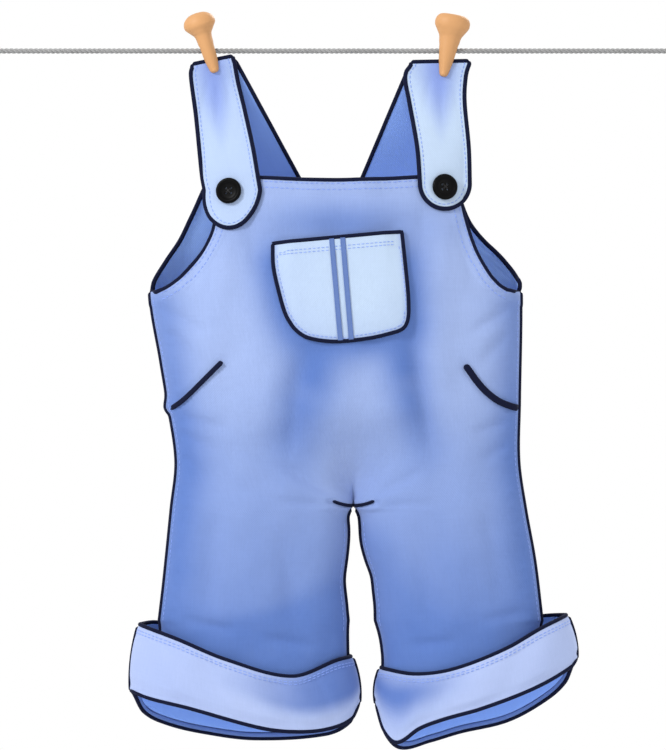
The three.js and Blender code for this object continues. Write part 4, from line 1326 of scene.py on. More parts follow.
POCKET_HEM = 11.0  # depth of the hem along the pocket's top edge
POCKET_GAPE = 2.0
POCKET_PUFF = 0.9
POCKET_COLUMNS, POCKET_ROWS = 72, 60
POCKET_BOTTOM = -215.0
POCKET_HEM_STEP = 0.35
HEM_GROOVES = (1.4, 3.8)  # above the hem's lower edge, where its two rows of stitches lie
POCKET_EDGE_GROOVE = 2.3  # in from the sewn edge, where its row lies


def pocket_lift(across, down):
    """The pocket's underside above the panel: flat along its seams, open at its top edge."""
    from_sides = smooth(across / 0.16) * smooth((1 - across) / 0.16)
    from_bottom = smooth((1 - down) / 0.2)
    gape = POCKET_GAPE * from_sides * smooth((0.45 - down) / 0.45)
    puff = POCKET_PUFF * from_sides * from_bottom
    waves = 0.16 * np.sin(across * 17 + 2 * down) + 0.14 * np.sin(down * 13 - 5 * across)
    return 0.3 + gape + puff + waves * from_sides * from_bottom


def bib_pocket():
    across = np.linspace(0, 1, POCKET_COLUMNS + 1)[None, :]
    down = np.linspace(0, 1, POCKET_ROWS + 1)[:, None]
    across, down = np.broadcast_arrays(across, down)
    x, z = pocket_place(across, down)
    below_top = down * (mix(POCKET_TOP_RIGHT[1], POCKET_TOP_LEFT[1], across) - POCKET_BOTTOM)
    hem = POCKET_HEM_STEP * smooth(POCKET_HEM - below_top)
    gap = distance_to_line(x, z, pocket_line)
    in_hem = POCKET_HEM - below_top
    groove = 0.22 * bell(gap - POCKET_EDGE_GROOVE, 0.8) + 0.18 * bell(in_hem - HEM_GROOVES[0], 0.8)
    groove = groove + 0.14 * bell(in_hem - HEM_GROOVES[1], 0.7)
    # Painted shade: darker at the pocket's sewn edges, towards its bottom, and on its -X part.
    shade = 0.55 * bell(gap, 3.0) + 0.10 * smooth((down - 0.5) / 0.5)
    shade = shade + 0.13 * smooth((20 - x) / 60)
    thickness = PATCH - POCKET_HEM_STEP + hem - groove
    piece = patch("bib_pocket_cloth", x, z, pocket_lift(across, down), thickness, pale_twill, shade)
    return settle(piece, "pale_cloth", "bib_pocket")


TAPE_WIDTH = 3.8
tapes = {"right": (-2.6, 4.1), "left": (5.6, 12.1)}


def tape_line(side, edge, count=70):
    """Places along a tape, edge being -1 to 1 across it."""
    top, bottom = tapes[side]
    down = np.linspace(0.008, 0.992, count)
    x = mix(top, bottom, down) + edge * TAPE_WIDTH / 2
    across = (x - pocket_edge_right(down)) / (pocket_edge_left(down) - pocket_edge_right(down))
    return x, pocket_place(across, down)[1], across, down


def pocket_tape(side):
    edges = np.linspace(-1, 1, 7)
    parts = [tape_line(side, edge) for edge in edges]
    x, z, across, down = (np.stack([part[i] for part in parts], -1) for i in range(4))
    lift = pocket_lift(across, down) + PATCH - 0.05
    piece = patch(f"pocket_tape_{side}_ribbon", x, z, lift, TAPE * 0.8, tape_cloth, rounding=0.3)
    return settle(piece, "stripe_cloth", f"pocket_tape_{side}")


WELT_WIDTH = 3.8
WELT_TIP = 0.1  # how blunt a welt's round front end is


def welt_curve(side):
    """A welt's centreline from its front end to the side seam, and the direction across it."""
    knots = welt_lines[side]
    share = (len(knots) - 1) * np.linspace(0, 1, 80) ** 1.5
    x, z = (through_steps([p[i] for p in knots], share) for i in (0, 1))
    return x, z, left_of(np.stack([x, z], -1))


def side_welt(side):
    x, z, across = welt_curve(side)
    edges = np.linspace(-1, 1, 11)[None, :]
    run = run_along(np.stack([x, z], -1)) + WELT_TIP
    rounded = np.minimum(run / (WELT_WIDTH / 2), 1)[:, None]
    half = WELT_WIDTH / 2 * np.sqrt(rounded * (2 - rounded)) * edges
    px = x[:, None] + across[:, :1] * half
    pz = z[:, None] + across[:, 1:] * half
    if side == "left":
        px, pz = px[:, ::-1], pz[:, ::-1]
    crown = 0.25 * (1 - edges**2)
    piece = patch(f"side_welt_{side}_fold", px, pz, 0.35, PATCH - 0.25 + crown, dark_binding)
    return settle(piece, "blue_cloth", f"side_welt_{side}")


pocket = bib_pocket()
pocket_tapes = {side: pocket_tape(side) for side in SIDES}
for side in SIDES:
    side_welt(side)

# ------------------------------------------------------------------ straps

STRAP_COLUMNS = 26
FOLD_STEPS = 14
FOLD_TURN = 75  # degrees to either side of the fold's crest
END_ROWS = 18
LAYERS_TOP = -15.0  # highest rows of the two hanging layers
FRONT_ROWS, BACK_ROWS = 46, 56
LEVEL_WITHIN = {FRONT: 60, BACK: 90}  # below a slanted fold, rows turn level over this


def strap_end_rows(strap):
    """The round front end, from its tip up to the straight stretch."""
    end = strap["end"]
    down = np.linspace(1, 0, END_ROWS + 1)[:-1, None]
    across = np.linspace(-1, 1, STRAP_COLUMNS + 1)[None, :]
    x = mix(end["x"], end["tip"], down) + end["half"] * across * np.sqrt(1 - down**2 / 2)
    z = end["z"] - end["length"] * down * np.sqrt(1 - across**2 / 2)
    return np.stack([x, strap_y(FRONT, x, z), z], -1)


def strap_layer(face, strap, heights, low, high):
    """One hanging layer of a strap, its rows tilting towards the fold."""
    fold = strap["fold"]
    z = heights[:, None]
    turned = 1 - smooth((fold["low"][1] - z) / LEVEL_WITHIN[face])
    tilt = (fold["high"][1] - fold["low"][1]) * turned
    t = np.linspace(0, 1, STRAP_COLUMNS + 1)[None, :]
    height = z + tilt * t
    x = mix(low(z), high(z + tilt), t)
    return np.stack([x, strap_y(face, x, height), height], -1)


def strap_fold_rows(strap):
    fold = strap["fold"]
    angle = np.radians(np.linspace(-FOLD_TURN, FOLD_TURN, FOLD_STEPS))[:, None]
    t = np.linspace(0, 1, STRAP_COLUMNS + 1)[None, :]
    top = mix(fold["low"][1], fold["high"][1], t) - STRAP / 2
    x = mix(fold["low"][0], fold["high"][0], t) + 0 * angle
    return np.stack([x, FOLD_RADIUS * np.sin(angle) + 0 * t,
                     top - FOLD_RADIUS * (1 - np.cos(angle))], -1)


def strap_rows(side):
    """The strap's middle surface, from its back end over the fold to its round front end."""
    strap = straps[side]
    end_z = strap["end"]["z"]
    front_heights = np.linspace(end_z, LAYERS_TOP, FRONT_ROWS)
    back_heights = np.linspace(strap["back_end"], LAYERS_TOP, BACK_ROWS)
    front = strap_layer(FRONT, strap, front_heights, strap["front_low"], strap["front_high"])
    back = strap_layer(BACK, strap, back_heights, strap["back_low"], strap["back_high"])
    fold = strap_fold_rows(strap)[::-1]
    return np.concatenate([back, fold, front[::-1], strap_end_rows(strap)[::-1]])


# Soft creases that the peg pinches into the front of a strap: start, end, depth, width.
strap_creases = {
    "right": (((-94, -16), (-101, -52), 0.5, 2.2), ((-88, -18), (-88, -66), 0.6, 2.4),
              ((-84, -14), (-77, -48), 0.45, 2.2), ((-97, -60), (-74, -70), 0.3, 3.0)),
    "left": (((72, -16), (66, -46), 0.5, 2.2), ((79, -18), (80, -62), 0.6, 2.4),
             ((88, -16), (92, -48), 0.45, 2.2), ((66, -58), (94, -66), 0.3, 3.0)),
}
# Painted shade under the peg, where it pinches the strap: middle of the top, lower tip, half width at
# the top.
peg_shade_wedges = {"right": ((-92, -14), (-84, -76), 14.0), "left": ((77.5, -14), (79.5, -70), 16.0)}
# Painted shade over the whole right strap, which the key light strikes more.
strap_even_shade = {"right": 0.26, "left": 0.0}  # even part of a strap's shade


def strap_shade(side, x, y, z):
    """Painted shade: a dark wedge below the peg on the front layer, a faint one behind, and an even
    share on a strap that the key light strikes more.
    """
    (top, tip, width) = peg_shade_wedges[side]
    share, off = along_segment(x, z, top, tip)
    narrowing = np.maximum(width * (1 - 0.85 * np.clip(share, 0, 1)), 1.0)
    wedge = bell(off, narrowing) * smooth(1.15 - share)
    wedge = wedge * np.where(y < 0, 1.0, 0.35)
    return np.clip(wedge + strap_even_shade[side] * (1 - wedge), 0, 1)


def strap_piece(side):
    rows = strap_rows(side)
    points = rows.reshape(-1, 3)
    cells = grid_cells(numbered(*rows.shape[:2]))
    normals = cell_normals(points, cells)
    x, y, z = points.T
    across = np.tile(np.linspace(-1, 1, rows.shape[1]), rows.shape[0])
    half_width = np.repeat(np.linalg.norm(rows[:, -1] - rows[:, 0], axis=1) / 2, rows.shape[1])
    from_end = distance_to_line(x, z, strap_end_line(straps[side]).tolist())
    at_end = (y < 0) & (z < straps[side]["end"]["z"])
    from_edge = np.where(at_end, from_end, half_width * (1 - np.abs(across)))
    press = 0.20 * bell(from_edge - 2.4, 0.9) + 0.14 * bell(from_edge - 4.4, 0.8)
    relief = 0.10 * np.sin(z / 5.1 + x / 8) + 0.12 * np.sin(z / 9.3 - x / 6)
    for start, end, depth, width in strap_creases[side]:
        relief = relief - np.where(y < 0, 1.0, 0.5) * crease(x, z, start, end, depth, width)
    clear = smooth((-14 - z) / 10)
    outer = points + normals * (STRAP / 2 + relief * clear - press)[:, None]
    inner = points - normals * (STRAP / 2 - np.maximum(relief * clear, -0.3) * 0.4)[:, None]
    middle = rows[:, STRAP_COLUMNS // 2]
    run = run_along(middle)
    level = np.repeat(middle[:, 2], rows.shape[1])
    uv = np.stack([across * half_width, np.repeat(run, rows.shape[1]) + (level - z) * at_end], -1)
    piece = cloth_piece(f"strap_{side}_cloth", outer, inner, cells, uv, strap_shade(side, x, y, z),
                        0.9, pale_twill, brightened_lining)
    return settle(piece, "pale_cloth", f"strap_{side}")


strap_pieces = {side: strap_piece(side) for side in SIDES}

# ------------------------------------------------------------------ turn-ups

CUFF_TURNS = 168
CUFF_WALL_ROWS = 26
CUFF_FOLD_ROWS = 12
CUFF_GAUGE = 40  # the column along which the depth of the weave is measured
FOLD_INSET = 2.6  # middle of the round fold, in from the outside of the band
FOLD_HEIGHT = 3.0
FOLD_REACH = 0.9  # how far the turned-in edge stands up past the fold
CUFF_HEM = 7.0
CUFF_HEM_ROWS = (1.2, 3.6)  # above the hem's lower edge

# Soft folds in the bands: middle x, half width, push out (+) or in (-), lean; front or back.
cuff_folds = {
    "right": {
        FRONT: ((-118, 14, 0.9, 0.5), (-92, 8, -0.7, 0.5), (-62, 13, 0.9, 0.35), (-38, 6, -1.0, 0.6),
                (-22, 6, 0.8, 0.7), (-8, 4, -0.8, 0.6)),
        BACK: ((-120, 12, -0.8, -0.4), (-90, 12, 0.8, -0.3), (-58, 8, -0.9, 0.4), (-30, 10, 0.8, 0.4),
               (-6, 5, -0.7, 0.5)),
    },
    "left": {
        FRONT: ((48, 5, -0.9, -0.5), (62, 7, 0.9, -0.6), (80, 6, -0.8, -0.6), (104, 13, 0.9, -0.4),
                (132, 8, -0.7, -0.4), (156, 9, 0.6, -0.4)),
        BACK: ((52, 5, -0.8, -0.5), (74, 9, 0.8, -0.4), (100, 8, -0.9, -0.3), (128, 12, 0.8, 0.3),
               (158, 8, -0.6, 0.4)),
    },
}


def cuff_relief(side, x, y, share):
    """How far a band's wall stands out from its even bulge."""
    total = 0.22 * np.sin(x / 6.1 + 3 * share) + 0.16 * np.sin(x / 3.7 - 5 * share)
    for face in (FRONT, BACK):
        on_face = smooth(0.5 + face * y / 12)
        for middle, width, push, lean in cuff_folds[side][face]:
            total = total + on_face * push * bell(x - middle - lean * 30 * (share - 0.5), width)
    return total * smooth(share / 0.25) * smooth((1 - share) / 0.2)


def cuff_shade(side, x, y, share):
    """Painted shade on a band: by the inner leg at the front, under the leg's fall, and a little more
    towards -X.
    """
    front = smooth(0.5 - y / 16)
    if side == "right":
        along = smooth((x + 104) / 104)
        low_edge = 1 - smooth((share - mix(0.28, 0.56, along)) / 0.34)
        blob = along * low_edge * smooth((share + mix(0.05, 0.3, along)) / 0.4)
        shade = front * 0.98 * blob + (1 - front) * 0.35 * bell(x + 30, 60)
    else:
        blob = smooth((108 - x) / 60) * bell(share - mix(0.3, 0.38, smooth((90 - x) / 50)), 0.34)
        shade = front * 1.0 * blob + (1 - front) * 0.35 * bell(x - 70, 60)
    return shade + 0.12 * smooth((-60 - x) / 60)


cuff_edges = {}  # middle of each band's top edge


def cuff_band(side):
    cuff = cuffs[side]
    turn = math.pi + 2 * math.pi * np.arange(CUFF_TURNS + 1)[None, :] / CUFF_TURNS
    share = np.linspace(0, 1, CUFF_WALL_ROWS)[:, None]
    top, bottom = ring_points(cuff["top"], turn), ring_points(cuff["bottom"], turn)
    height = top[..., 2] - bottom[..., 2]
    part = share * (1 - FOLD_HEIGHT / height)
    around = np.broadcast_to(turn, part.shape)
    flat = mix(top, bottom, part[..., None])
    bulge = CUFF_BULGE * 4 * part * (1 - part) * (1 - smooth((share - 0.8) / 0.2))
    relief = cuff_relief(side, flat[..., 0], flat[..., 1], share)
    below_top = share * height
    press = 0.25 * bell(below_top - CUFF_HEM, 0.9) - 0.25 * smooth((CUFF_HEM - below_top) / 1.2)

    out = ring_points(cuff["top"], around) - ring_points(cuff["top"], around, 1.0)
    out = unit(out * (1, 1, 0))

    def band(inset):
        return flat + out * (bulge + relief - inset)[..., None]

    fold = np.linspace(math.pi, 2 * math.pi, CUFF_FOLD_ROWS + 1)[1:, None]
    fold_turn = np.broadcast_to(turn, (CUFF_FOLD_ROWS, CUFF_TURNS + 1))

    def under(wide, tall):
        inset = FOLD_INSET + wide * np.cos(fold)
        rise = FOLD_HEIGHT + tall * np.sin(fold)
        return ring_points(cuff["bottom"], fold_turn, np.broadcast_to(inset, fold_turn.shape),
                           np.broadcast_to(rise, fold_turn.shape))

    lip = np.array([0, 0, FOLD_REACH])
    wide = FOLD_INSET
    outer_fold, inner_fold = under(wide, FOLD_HEIGHT), under(wide - CLOTH, FOLD_HEIGHT - CLOTH)
    outer = np.concatenate([band(press), outer_fold, outer_fold[-1:] + lip])
    inner = np.concatenate([band(CLOTH), inner_fold, inner_fold[-1:] + lip])
    run = run_along(outer[:, CUFF_GAUGE])
    girth = run_along(outer[CUFF_WALL_ROWS // 2])
    uv = np.stack(np.broadcast_arrays(girth[None, :], -run[:, None]), -1)
    shade = cuff_shade(side, flat[..., 0], flat[..., 1], share)
    # Painted shade on the fold: it darkens where the fold turns in, and the lip is fully dark.
    turned_in = smooth((fold - 1.35 * math.pi) / (0.3 * math.pi)) + 0 * turn
    fold_shade = np.maximum(mix(shade[-1:], 1.0, turned_in), 0)
    shade = np.concatenate([shade, fold_shade, np.ones((1, CUFF_TURNS + 1))])
    if side == "left":
        outer, inner, uv, shade = outer[:, ::-1], inner[:, ::-1], uv[:, ::-1], shade[:, ::-1]
    cuff_edges[side] = (outer[0] + inner[0]) / 2
    cells = grid_cells(numbered(*outer.shape[:2]))
    piece = cloth_piece(f"cuff_{side}_band", outer.reshape(-1, 3), inner.reshape(-1, 3), cells,
                        uv.reshape(-1, 2), np.clip(shade, 0, 1).reshape(-1), 0.8, cuff_twill,
                        brightened_inner_blue)
    return settle(piece, "cuff_cloth", f"cuff_{side}")


cuff_pieces = {side: cuff_band(side) for side in SIDES}

# ------------------------------------------------------------------ buttons and pegs


def lathe(name, profile, sides, materials, depth=None):
    """A turned shape about Z from (radius, height) points, both of whose ends are on the axis."""
    profile = np.asarray(profile, float)
    ring = circle(sides)
    body = profile[1:-1]
    deep = np.ones(len(body)) if depth is None else depth(body[:, 1])
    points = np.stack([body[:, :1] * np.cos(ring)[None, :],
                       (body[:, 0] * deep)[:, None] * np.sin(ring)[None, :],
                       np.broadcast_to(body[:, 1:], (len(body), sides))], -1).reshape(-1, 3)
    points = np.concatenate([points, [[0, 0, profile[0, 1]], [0, 0, profile[-1, 1]]]])
    closed = closed_rings(numbered(len(body), sides))
    rising = profile[-1, 1] > profile[0, 1]
    faces = grid_cells(closed).tolist()
    start, finish = len(points) - 2, len(points) - 1
    faces += [[start, closed[0, i], closed[0, i + 1]] for i in range(sides)]
    faces += [[finish, closed[-1, i + 1], closed[-1, i]] for i in range(sides)]
    if rising:
        faces = [face[::-1] for face in faces]
    return add_object(name, points, faces, materials)


def cut_away(piece, tools):
    """Subtract tools from a piece, and delete them."""
    for tool in tools:
        modifier = piece.modifiers.new("cut", "BOOLEAN")
        modifier.operation = "DIFFERENCE"
        modifier.solver = "EXACT"
        modifier.object = tool
    evaluated = piece.evaluated_get(bpy.context.evaluated_depsgraph_get())
    mesh = bpy.data.meshes.new_from_object(evaluated)
    piece.modifiers.clear()
    old = piece.data
    piece.data = mesh
    bpy.data.meshes.remove(old)
    for tool in tools:
        bpy.data.meshes.remove(tool.data)


def crisp(piece, degrees):
    """Smooth shading, apart from edges sharper than an angle."""
    piece.data.shade_smooth()
    piece.data.set_sharp_from_angle(angle=math.radians(degrees))


def rod(name, radius, low, high, sides=20, spin=None, place=(0, 0, 0)):
    """A plain round tool for cutting, along Z and then turned and moved."""
    tool = lathe(name, [(0, low), (radius, low), (radius, high), (0, high)], sides, [])
    matrix = Matrix.Translation(Vector(place) * MM)
    if spin is not None:
        matrix = matrix @ spin
    tool.data.transform(matrix)
    return tool


BUTTON_SIDES = 64
BUTTON_SEAT = 8.0  # how far from its middle a button rests on the strap
BUTTON_GAP = 0.35  # between its underside and the strap
BUTTON_HOLE = 0.95
BUTTON_HOLE_REACH = 1.9
button_places = {"right": (-78.8, -105.8), "left": (81.3, -102.8)}
button_profile = [(0, 0), (8.2, 0), (9.2, 0.3), (9.65, 1.0), (9.75, 1.7), (9.55, 2.5), (9.0, 3.1),
                  (8.3, 3.38), (7.6, 3.3), (6.9, 2.9), (6.2, 2.45), (5.2, 2.25), (3.5, 2.2),
                  (0, 2.2)]


def button_frame(side):
    """Where a button sits: its underside's middle on the strap, with Z out of the cloth."""
    x, z = button_places[side]
    slope, lean = slopes(strap_y, FRONT, x, z, BUTTON_SEAT)
    out = Vector((slope, -1, lean)).normalized()
    place = Vector((x, strap_y(FRONT, x, z), z)) + out * (STRAP / 2 + BUTTON_GAP)
    side_way = Vector((0, 0, 1)).cross(out).normalized()
    up = out.cross(side_way)
    turn = Matrix((side_way, up, out)).transposed().to_4x4()
    return Matrix.Translation(place * MM) @ turn


def button(side):
    piece = lathe(f"button_{side}_disc", button_profile, BUTTON_SIDES, [black_resin])
    reach = BUTTON_HOLE_REACH
    holes = [rod("hole", BUTTON_HOLE, -1, 4, place=(sx * reach, sz * reach, 0))
             for sx in (-1, 1) for sz in (-1, 1)]
    cut_away(piece, holes)
    crisp(piece, 40)
    piece.matrix_world = button_frame(side)
    return settle(piece, "button", f"button_{side}")


for side in SIDES:
    button(side)

peg_shapes = {
    "right": {"lean": 18, "x": -95, "rings": (
        (30, 0, 0), (29, 6.2, 6), (25.5, 10.8, 10), (20.5, 12, 11.2), (16, 9, 9.4), (12, 6.4, 8),
        (4, 5.8, 7.8), (-6, 5.4, 7.2), (-13, 4.4, 6.2), (-16.5, 3, 5.4), (-17.6, 0, 0))},
    "left": {"lean": -10, "x": 84.5, "rings": (
        (28, 0, 0), (27.3, 9, 8), (24, 12.6, 11), (19, 13, 11.4), (14, 10.2, 9.8), (10, 8.2, 8.6),
        (2, 7.2, 8.2), (-8, 5.8, 7.4), (-15, 4.4, 6.4), (-19, 2.9, 5.6), (-20, 0, 0))},
}
SLOT_TOP = 3.6
SLOT_WIDTH, SLOT_HEIGHT = 60.0, 40.0  # of the cut, past the peg's sides and foot
PEG_SIDES, PEG_STEPS = 72, 90


def peg(side):
    """A turned dolly peg with a knob, slotted from below to make two legs."""
    shape = peg_shapes[side]
    rings = shape["rings"][::-1]
    steps = np.linspace(0, len(rings) - 1, PEG_STEPS)
    height, radius = (through_steps([ring[i] for ring in rings], steps) for i in (0, 1))
    depth = through(*[(ring[0], ring[2] / ring[1]) for ring in rings if ring[1] > 0])
    piece = lathe(f"peg_{side}_wood", np.stack([radius, height], -1), PEG_SIDES,
                  [peg_wood], depth)
    across = Matrix.Rotation(math.pi / 2, 4, "Y")
    slot_end = rod("slot_end", SLOT_HALF, -SLOT_WIDTH / 2, SLOT_WIDTH / 2, 40, across,
                   (0, 0, SLOT_TOP))
    box = bpy.data.meshes.new("slot")
    form = bmesh.new()
    size = Matrix.Diagonal((SLOT_WIDTH * MM, 2 * SLOT_HALF * MM, SLOT_HEIGHT * MM, 1))
    middle = Matrix.Translation((0, 0, (SLOT_TOP - SLOT_HEIGHT / 2) * MM))
    bmesh.ops.create_cube(form, size=1.0, matrix=middle @ size)
    form.to_mesh(box)
    form.free()
    cut_away(piece, [slot_end, in_scene("slot", box)])
    crisp(piece, 40)
    lean = math.radians(shape["lean"])
    piece.matrix_world = Matrix.Translation((shape["x"] * MM, 0, 0)) @ Matrix.Rotation(
        -lean, 4, "Y")
    return settle(piece, "peg_wood", f"peg_{side}")


for side in SIDES:
    peg(side)

# ------------------------------------------------------------------ stitches

STITCH = 2.9
STITCH_PITCH = 3.9
STITCH_RADIUS = 0.34
STITCH_SIDES = 6


def stitch_form():
    """One stitch: a short thread, lying along X, whose ends go down into the cloth."""
    places = np.array([-0.5, -0.42, -0.2, 0.2, 0.42, 0.5]) * STITCH
    sizes = np.array([0.45, 0.85, 1.0, 1.0, 0.85, 0.45]) * STITCH_RADIUS
    heights = np.array([-0.75, -0.1, 0.3, 0.3, -0.1, -0.75]) * STITCH_RADIUS
    ring = circle(STITCH_SIDES)
    points = np.stack([np.broadcast_to(places[:, None], (len(places), STITCH_SIDES)),
                       sizes[:, None] * np.cos(ring)[None, :],
                       heights[:, None] + 0.8 * sizes[:, None] * np.sin(ring)[None, :]], -1)
    return points.reshape(-1, 3), tube_faces(numbered(len(places), STITCH_SIDES))


def stitch_rows(name, cloth, lines, thread, slot, size=1.0):
    """Rows of stitches on a piece: each line is places in mm near the cloth's outer side."""
    form, form_faces = stitch_form()
    tree = tree_of(cloth)
    points, faces = [], []
    for line in lines:
        path, _ = resampled(line, STITCH_PITCH * size / 2)
        for i in range(1, len(path) - 1, 2):
            hit, normal, _, _ = tree.find_nearest(Vector(path[i] * MM))
            out = np.array(normal)
            along = unit(path[i + 1] - path[i - 1])
            along = unit(along - out * np.dot(along, out))
            frame = np.stack([along, np.cross(out, along), out])
            start = len(points) * len(form)
            points.append(np.array(hit) / MM + (form * size) @ frame)
            faces += [[number + start for number in face] for face in form_faces]
    piece = add_object(name, np.concatenate(points), faces, [thread])
    return settle(piece, slot)


def line_on(face, places, off=2.5):
    """Places (x, z) put a little off the front or back panel's smooth form."""
    x, z = np.asarray(places, float).T
    return surface(face, x, z, off)


def inset_line(line, inset):
    """A line of (x, z) places moved to its left-hand side."""
    line = np.asarray(line, float)
    return line + left_of(line) * inset


EDGE_ROWS = (2.4, 6.8)
SEAM_ROWS = {FRONT: (11.5,), BACK: (5.0, 11.0)}


def trimmed(line, share):
    """A line without a share of it at each end."""
    count = max(1, int(len(line) * share))
    return line[count:-count]


def panel_stitches(face):
    """Double rows along the armholes and the top edge, and rows along the seams."""
    lines = []
    right_arm, top, left_arm = (np.asarray(line, float) for line in free_edges[face])
    for inset in EDGE_ROWS:
        lines.append(line_on(face, trimmed(inset_line(right_arm, inset), 0.05)))
        lines.append(line_on(face, trimmed(inset_line(left_arm, -inset), 0.05)))
        x, z = top.T
        inside = (x > right_arm[0, 0] + inset) & (x < left_arm[0, 0] - inset)
        y = body_y(face, x, z) + face * 2.5
        lines.append(np.stack([x, y, z - inset], -1)[inside])
    sides = np.linspace(UNDERARM - 6, LEG_STRAIGHT_TO, 90)
    inner = np.linspace(CROTCH_Z - 10, LEG_STRAIGHT_TO - 8, 40)
    seams = ((side_right, -2, sides), (side_left, 2, sides), (inseam_right, 1, inner),
             (inseam_left, -1, inner))
    for row in SEAM_ROWS[face]:
        for seam, aside, z in seams:
            lines.append(np.stack([seam(z) + aside, np.full(len(z), face * row), z], -1))
    return lines


STRAP_ROW_INSET = 3.4
BOX_ROWS, BOX_COLUMNS = (4, 26), (2, -3)  # of the strap's grid, where the crossed box's corners are
BOX_LIFT_ROW = 10


def strap_stitches(side):
    """A row inside each long edge and round the end, and a crossed box at the back."""
    rows = strap_rows(side)
    width = np.linalg.norm(rows[:, -1] - rows[:, 0], axis=1)
    cells = grid_cells(numbered(*rows.shape[:2]))
    normals = cell_normals(rows.reshape(-1, 3), cells).reshape(rows.shape)
    out = normals[:, rows.shape[1] // 2] * 2.0
    inset = STRAP_ROW_INSET / width
    edges = []
    for share in (inset, 1 - inset):
        place = rows[:, 0] + (rows[:, -1] - rows[:, 0]) * share[:, None] + out
        edges.append(place[BOX_ROWS[0]:-END_ROWS - 1])
    x, z = strap_end_line(straps[side], STRAP_ROW_INSET).T
    tip = np.stack([x, strap_y(FRONT, x, z) - STRAP / 2 - 1.5, z], -1)
    loop = np.concatenate([edges[0], tip, edges[1][::-1]])
    low_right, low_left, high_right, high_left = (
        rows[row, column] + out[BOX_LIFT_ROW] for row in BOX_ROWS for column in BOX_COLUMNS)
    return [loop, [low_right, high_left], [low_left, high_right], [low_right, low_left],
            [high_right, high_left]]


def pocket_stitches():
    edge = pocket_outline(POCKET_EDGE_GROOVE)[2:-2]
    lines = [surface(FRONT, edge[:, 0], edge[:, 1], 5.0)]
    across = np.linspace(0.03, 0.97, 40)
    x, z = pocket_place(across, np.zeros(40))
    for above in HEM_GROOVES:
        lines.append(surface(FRONT, x, z - POCKET_HEM + above, 7.0))
    return lines


def tape_stitches(side):
    lines = []
    for edge in (-0.72, 0.72):
        x, z, across, down = tape_line(side, edge, 40)
        lines.append(surface(FRONT, x, z, pocket_lift(across, down) + 4))
    return lines


def cuff_stitches(side):
    """Two rows along the turned-down hem of the band's top edge."""
    turn = math.pi + 2 * math.pi * np.linspace(0.004, 0.996, 200)
    rows = []
    for above in CUFF_HEM_ROWS:
        rows.append(ring_points(cuffs[side]["top"], turn, -3.0, above - CUFF_HEM))
    return rows


for face, cloth in ((FRONT, front_panel), (BACK, back_panel)):
    stitch_rows(f"stitches_{FACE_WORDS[face]}", cloth, panel_stitches(face), blue_thread,
                "blue_cloth")
stitch_rows("stitches_pocket", pocket, pocket_stitches(), blue_thread, "pale_cloth", 0.85)
for side in SIDES:
    stitch_rows(f"stitches_strap_{side}", strap_pieces[side], strap_stitches(side), blue_thread,
                "pale_cloth", 0.9)
    stitch_rows(f"stitches_tape_{side}", pocket_tapes[side], tape_stitches(side), tape_thread,
                "stripe_cloth", 0.6)
    stitch_rows(f"stitches_cuff_{side}", cuff_pieces[side], cuff_stitches(side), blue_thread,
                "cuff_cloth")

# ------------------------------------------------------------------ dark edgings

EDGING_STEP = 1.3
EDGING_SIDES = 8
SIDE_ENDS, INSEAM_END = -446.0, -466.0  # where the seams' edgings end, inside the turn-ups


def edging(name, lines, radius, slot):
    """A thin dark binding, round in section and at its ends, along each line."""
    parts = []
    for line in lines:
        path, run = resampled(line, EDGING_STEP)
        from_end = np.minimum(run, run[-1] - run) / radius
        size = radius * np.sqrt(np.clip(from_end * (2 - np.minimum(from_end, 1)), 0.1, 1))
        parts.append((path, *carried_frames(path), size, radius, run))
    return settle(tubes(name, parts, EDGING_SIDES, dark_binding), slot)


def closed_line(points):
    return np.concatenate([points, points[:2]])


def loop_of(name, share=0.5):
    """A cloth piece's free edge as a loop of points, share being 0 inside and 1 outside."""
    outer, inner, cells = sheets[name]
    loop = free_loop(cells)
    return mix(inner[loop], outer[loop], share)


def stretches(loop, wanted):
    """The unbroken runs of a loop's points that are wanted."""
    start = int(np.argmin(wanted))
    loop, wanted = np.roll(loop, -start, axis=0), np.roll(wanted, -start)
    changes = np.flatnonzero(np.diff(wanted.astype(int))) + 1
    parts = np.split(loop, changes)
    return [part for part, keep in zip(parts, np.split(wanted, changes)) if keep[0] and len(part) > 3]


def in_front_of(piece, places):
    """Places moved straight back onto a piece's front."""
    tree = tree_of(piece)
    hits = [tree.ray_cast(Vector((x * MM, -0.2, z * MM)), Vector((0, 1, 0)))[0]
            for x, _, z in places]
    return np.array([hit for hit in hits if hit is not None]) / MM


def cuff_fold_line(side, turn):
    """Along a turn-up's fold: outside it in front, and under it behind."""
    behind = smooth(0.5 - 2 * np.sin(turn))
    return ring_points(cuffs[side]["bottom"], turn, mix(0.7, 2.6, behind), mix(1.0, -0.8, behind))


def cuff_lines(side):
    """A turn-up's dark lines: its top edge, its fold, and its two side seams."""
    fold = cuff_fold_line(side, np.linspace(0, 2 * math.pi, 200))
    down = np.linspace(0, 1, 30)[1:, None]
    seams = []
    for column in (0, CUFF_TURNS // 2):
        top = cuff_edges[side][column]
        bottom = cuff_fold_line(side, math.pi * (1 - column * 2 / CUFF_TURNS))
        out = np.sign(top[0] - cuff_edges[side][:, 0].mean())
        bulge = CUFF_BULGE * 4 * down * (1 - down) + 0.9
        seams.append(mix(top, bottom, down) + bulge * np.array([out, 0, 0]))
    return [closed_line(cuff_edges[side][:-1]), closed_line(fold[:-1]), *seams]


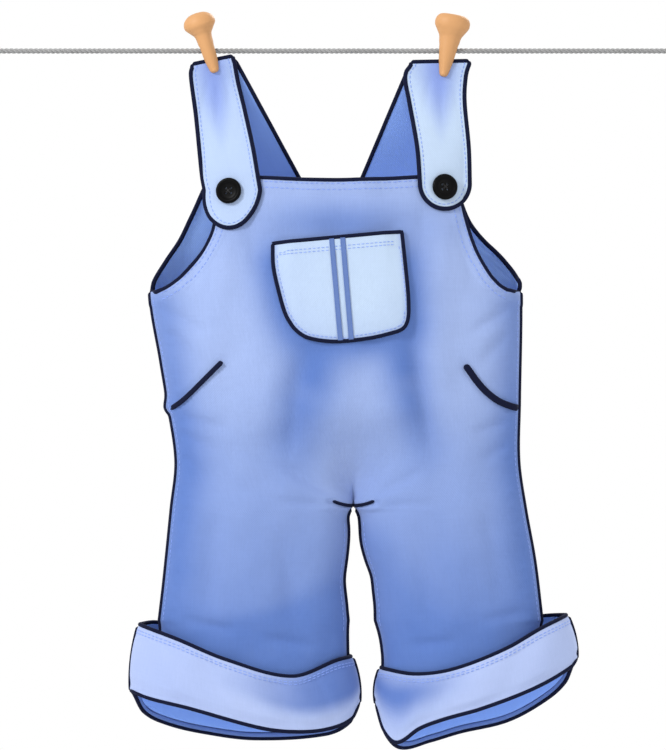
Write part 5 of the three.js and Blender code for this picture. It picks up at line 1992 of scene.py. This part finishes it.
EDGING = 1.75  # radii of the bindings
SEAM_EDGING = 2.1
TACK_RADIUS = 1.3
TACK_HALF, TACK_HEIGHT, TACK_RISE = 15.5, -340.6, 3.6  # half width, lowest point, rise of its ends
for word in FACE_WORDS.values():
    loop = loop_of(f"{word}_panel_cloth")
    edging(f"edging_{word}", stretches(loop, loop[:, 2] > UNDERARM - 6), EDGING, "blue_cloth")
loop = loop_of("front_panel_cloth", 1.0)
ends = np.where(np.abs(loop[:, 0] - CROTCH_X) < 60, INSEAM_END, SIDE_ENDS)
on_seam = (np.abs(loop[:, 1]) < 1.2) & (loop[:, 2] < UNDERARM + 0.5) & (loop[:, 2] > ends)
loop[:, 1] = 0
edging("edging_seams", stretches(loop, on_seam), SEAM_EDGING, "blue_cloth")
tack = np.linspace(-1, 1, 25)
tack_line = np.stack([CROTCH_X + TACK_HALF * tack, 0 * tack, TACK_HEIGHT + TACK_RISE * tack**2], -1)
edging("edging_tack", [in_front_of(front_panel, tack_line)], TACK_RADIUS, "blue_cloth")
edging("edging_pocket", [closed_line(loop_of("bib_pocket_cloth"))], EDGING * 0.9, "pale_cloth")
for side in SIDES:
    over_fold = [(x, -0.6, z + 0.4) for x, z in straps[side]["fold"].values()]
    edging(f"edging_strap_{side}", [closed_line(loop_of(f"strap_{side}_cloth")), over_fold], EDGING,
           "pale_cloth")
    edging(f"edging_cuff_{side}", cuff_lines(side), EDGING * 0.9, "cuff_cloth")

BUTTON_THREAD_RADIUS = 0.42


def button_thread(side):
    """Two crossed threads through the four holes of a button."""
    reach = BUTTON_HOLE_REACH
    form, faces = stitch_form()
    scale = np.array([2.9 * reach / STITCH, BUTTON_THREAD_RADIUS / STITCH_RADIUS,
                      BUTTON_THREAD_RADIUS / STITCH_RADIUS])
    points, all_faces = [], []
    for k, degrees in enumerate((45, -45)):
        angle = math.radians(degrees)
        spin = np.array([[math.cos(angle), math.sin(angle), 0],
                         [-math.sin(angle), math.cos(angle), 0], [0, 0, 1]])
        points.append((form * scale) @ spin + (0, 0, 2.45 + 0.25 * k))
        all_faces += [[number + k * len(form) for number in face] for face in faces]
    piece = add_object(f"button_{side}_thread", np.concatenate(points), all_faces, [black_thread])
    piece.matrix_world = button_frame(side)
    return settle(piece, "button")


for side in SIDES:
    button_thread(side)
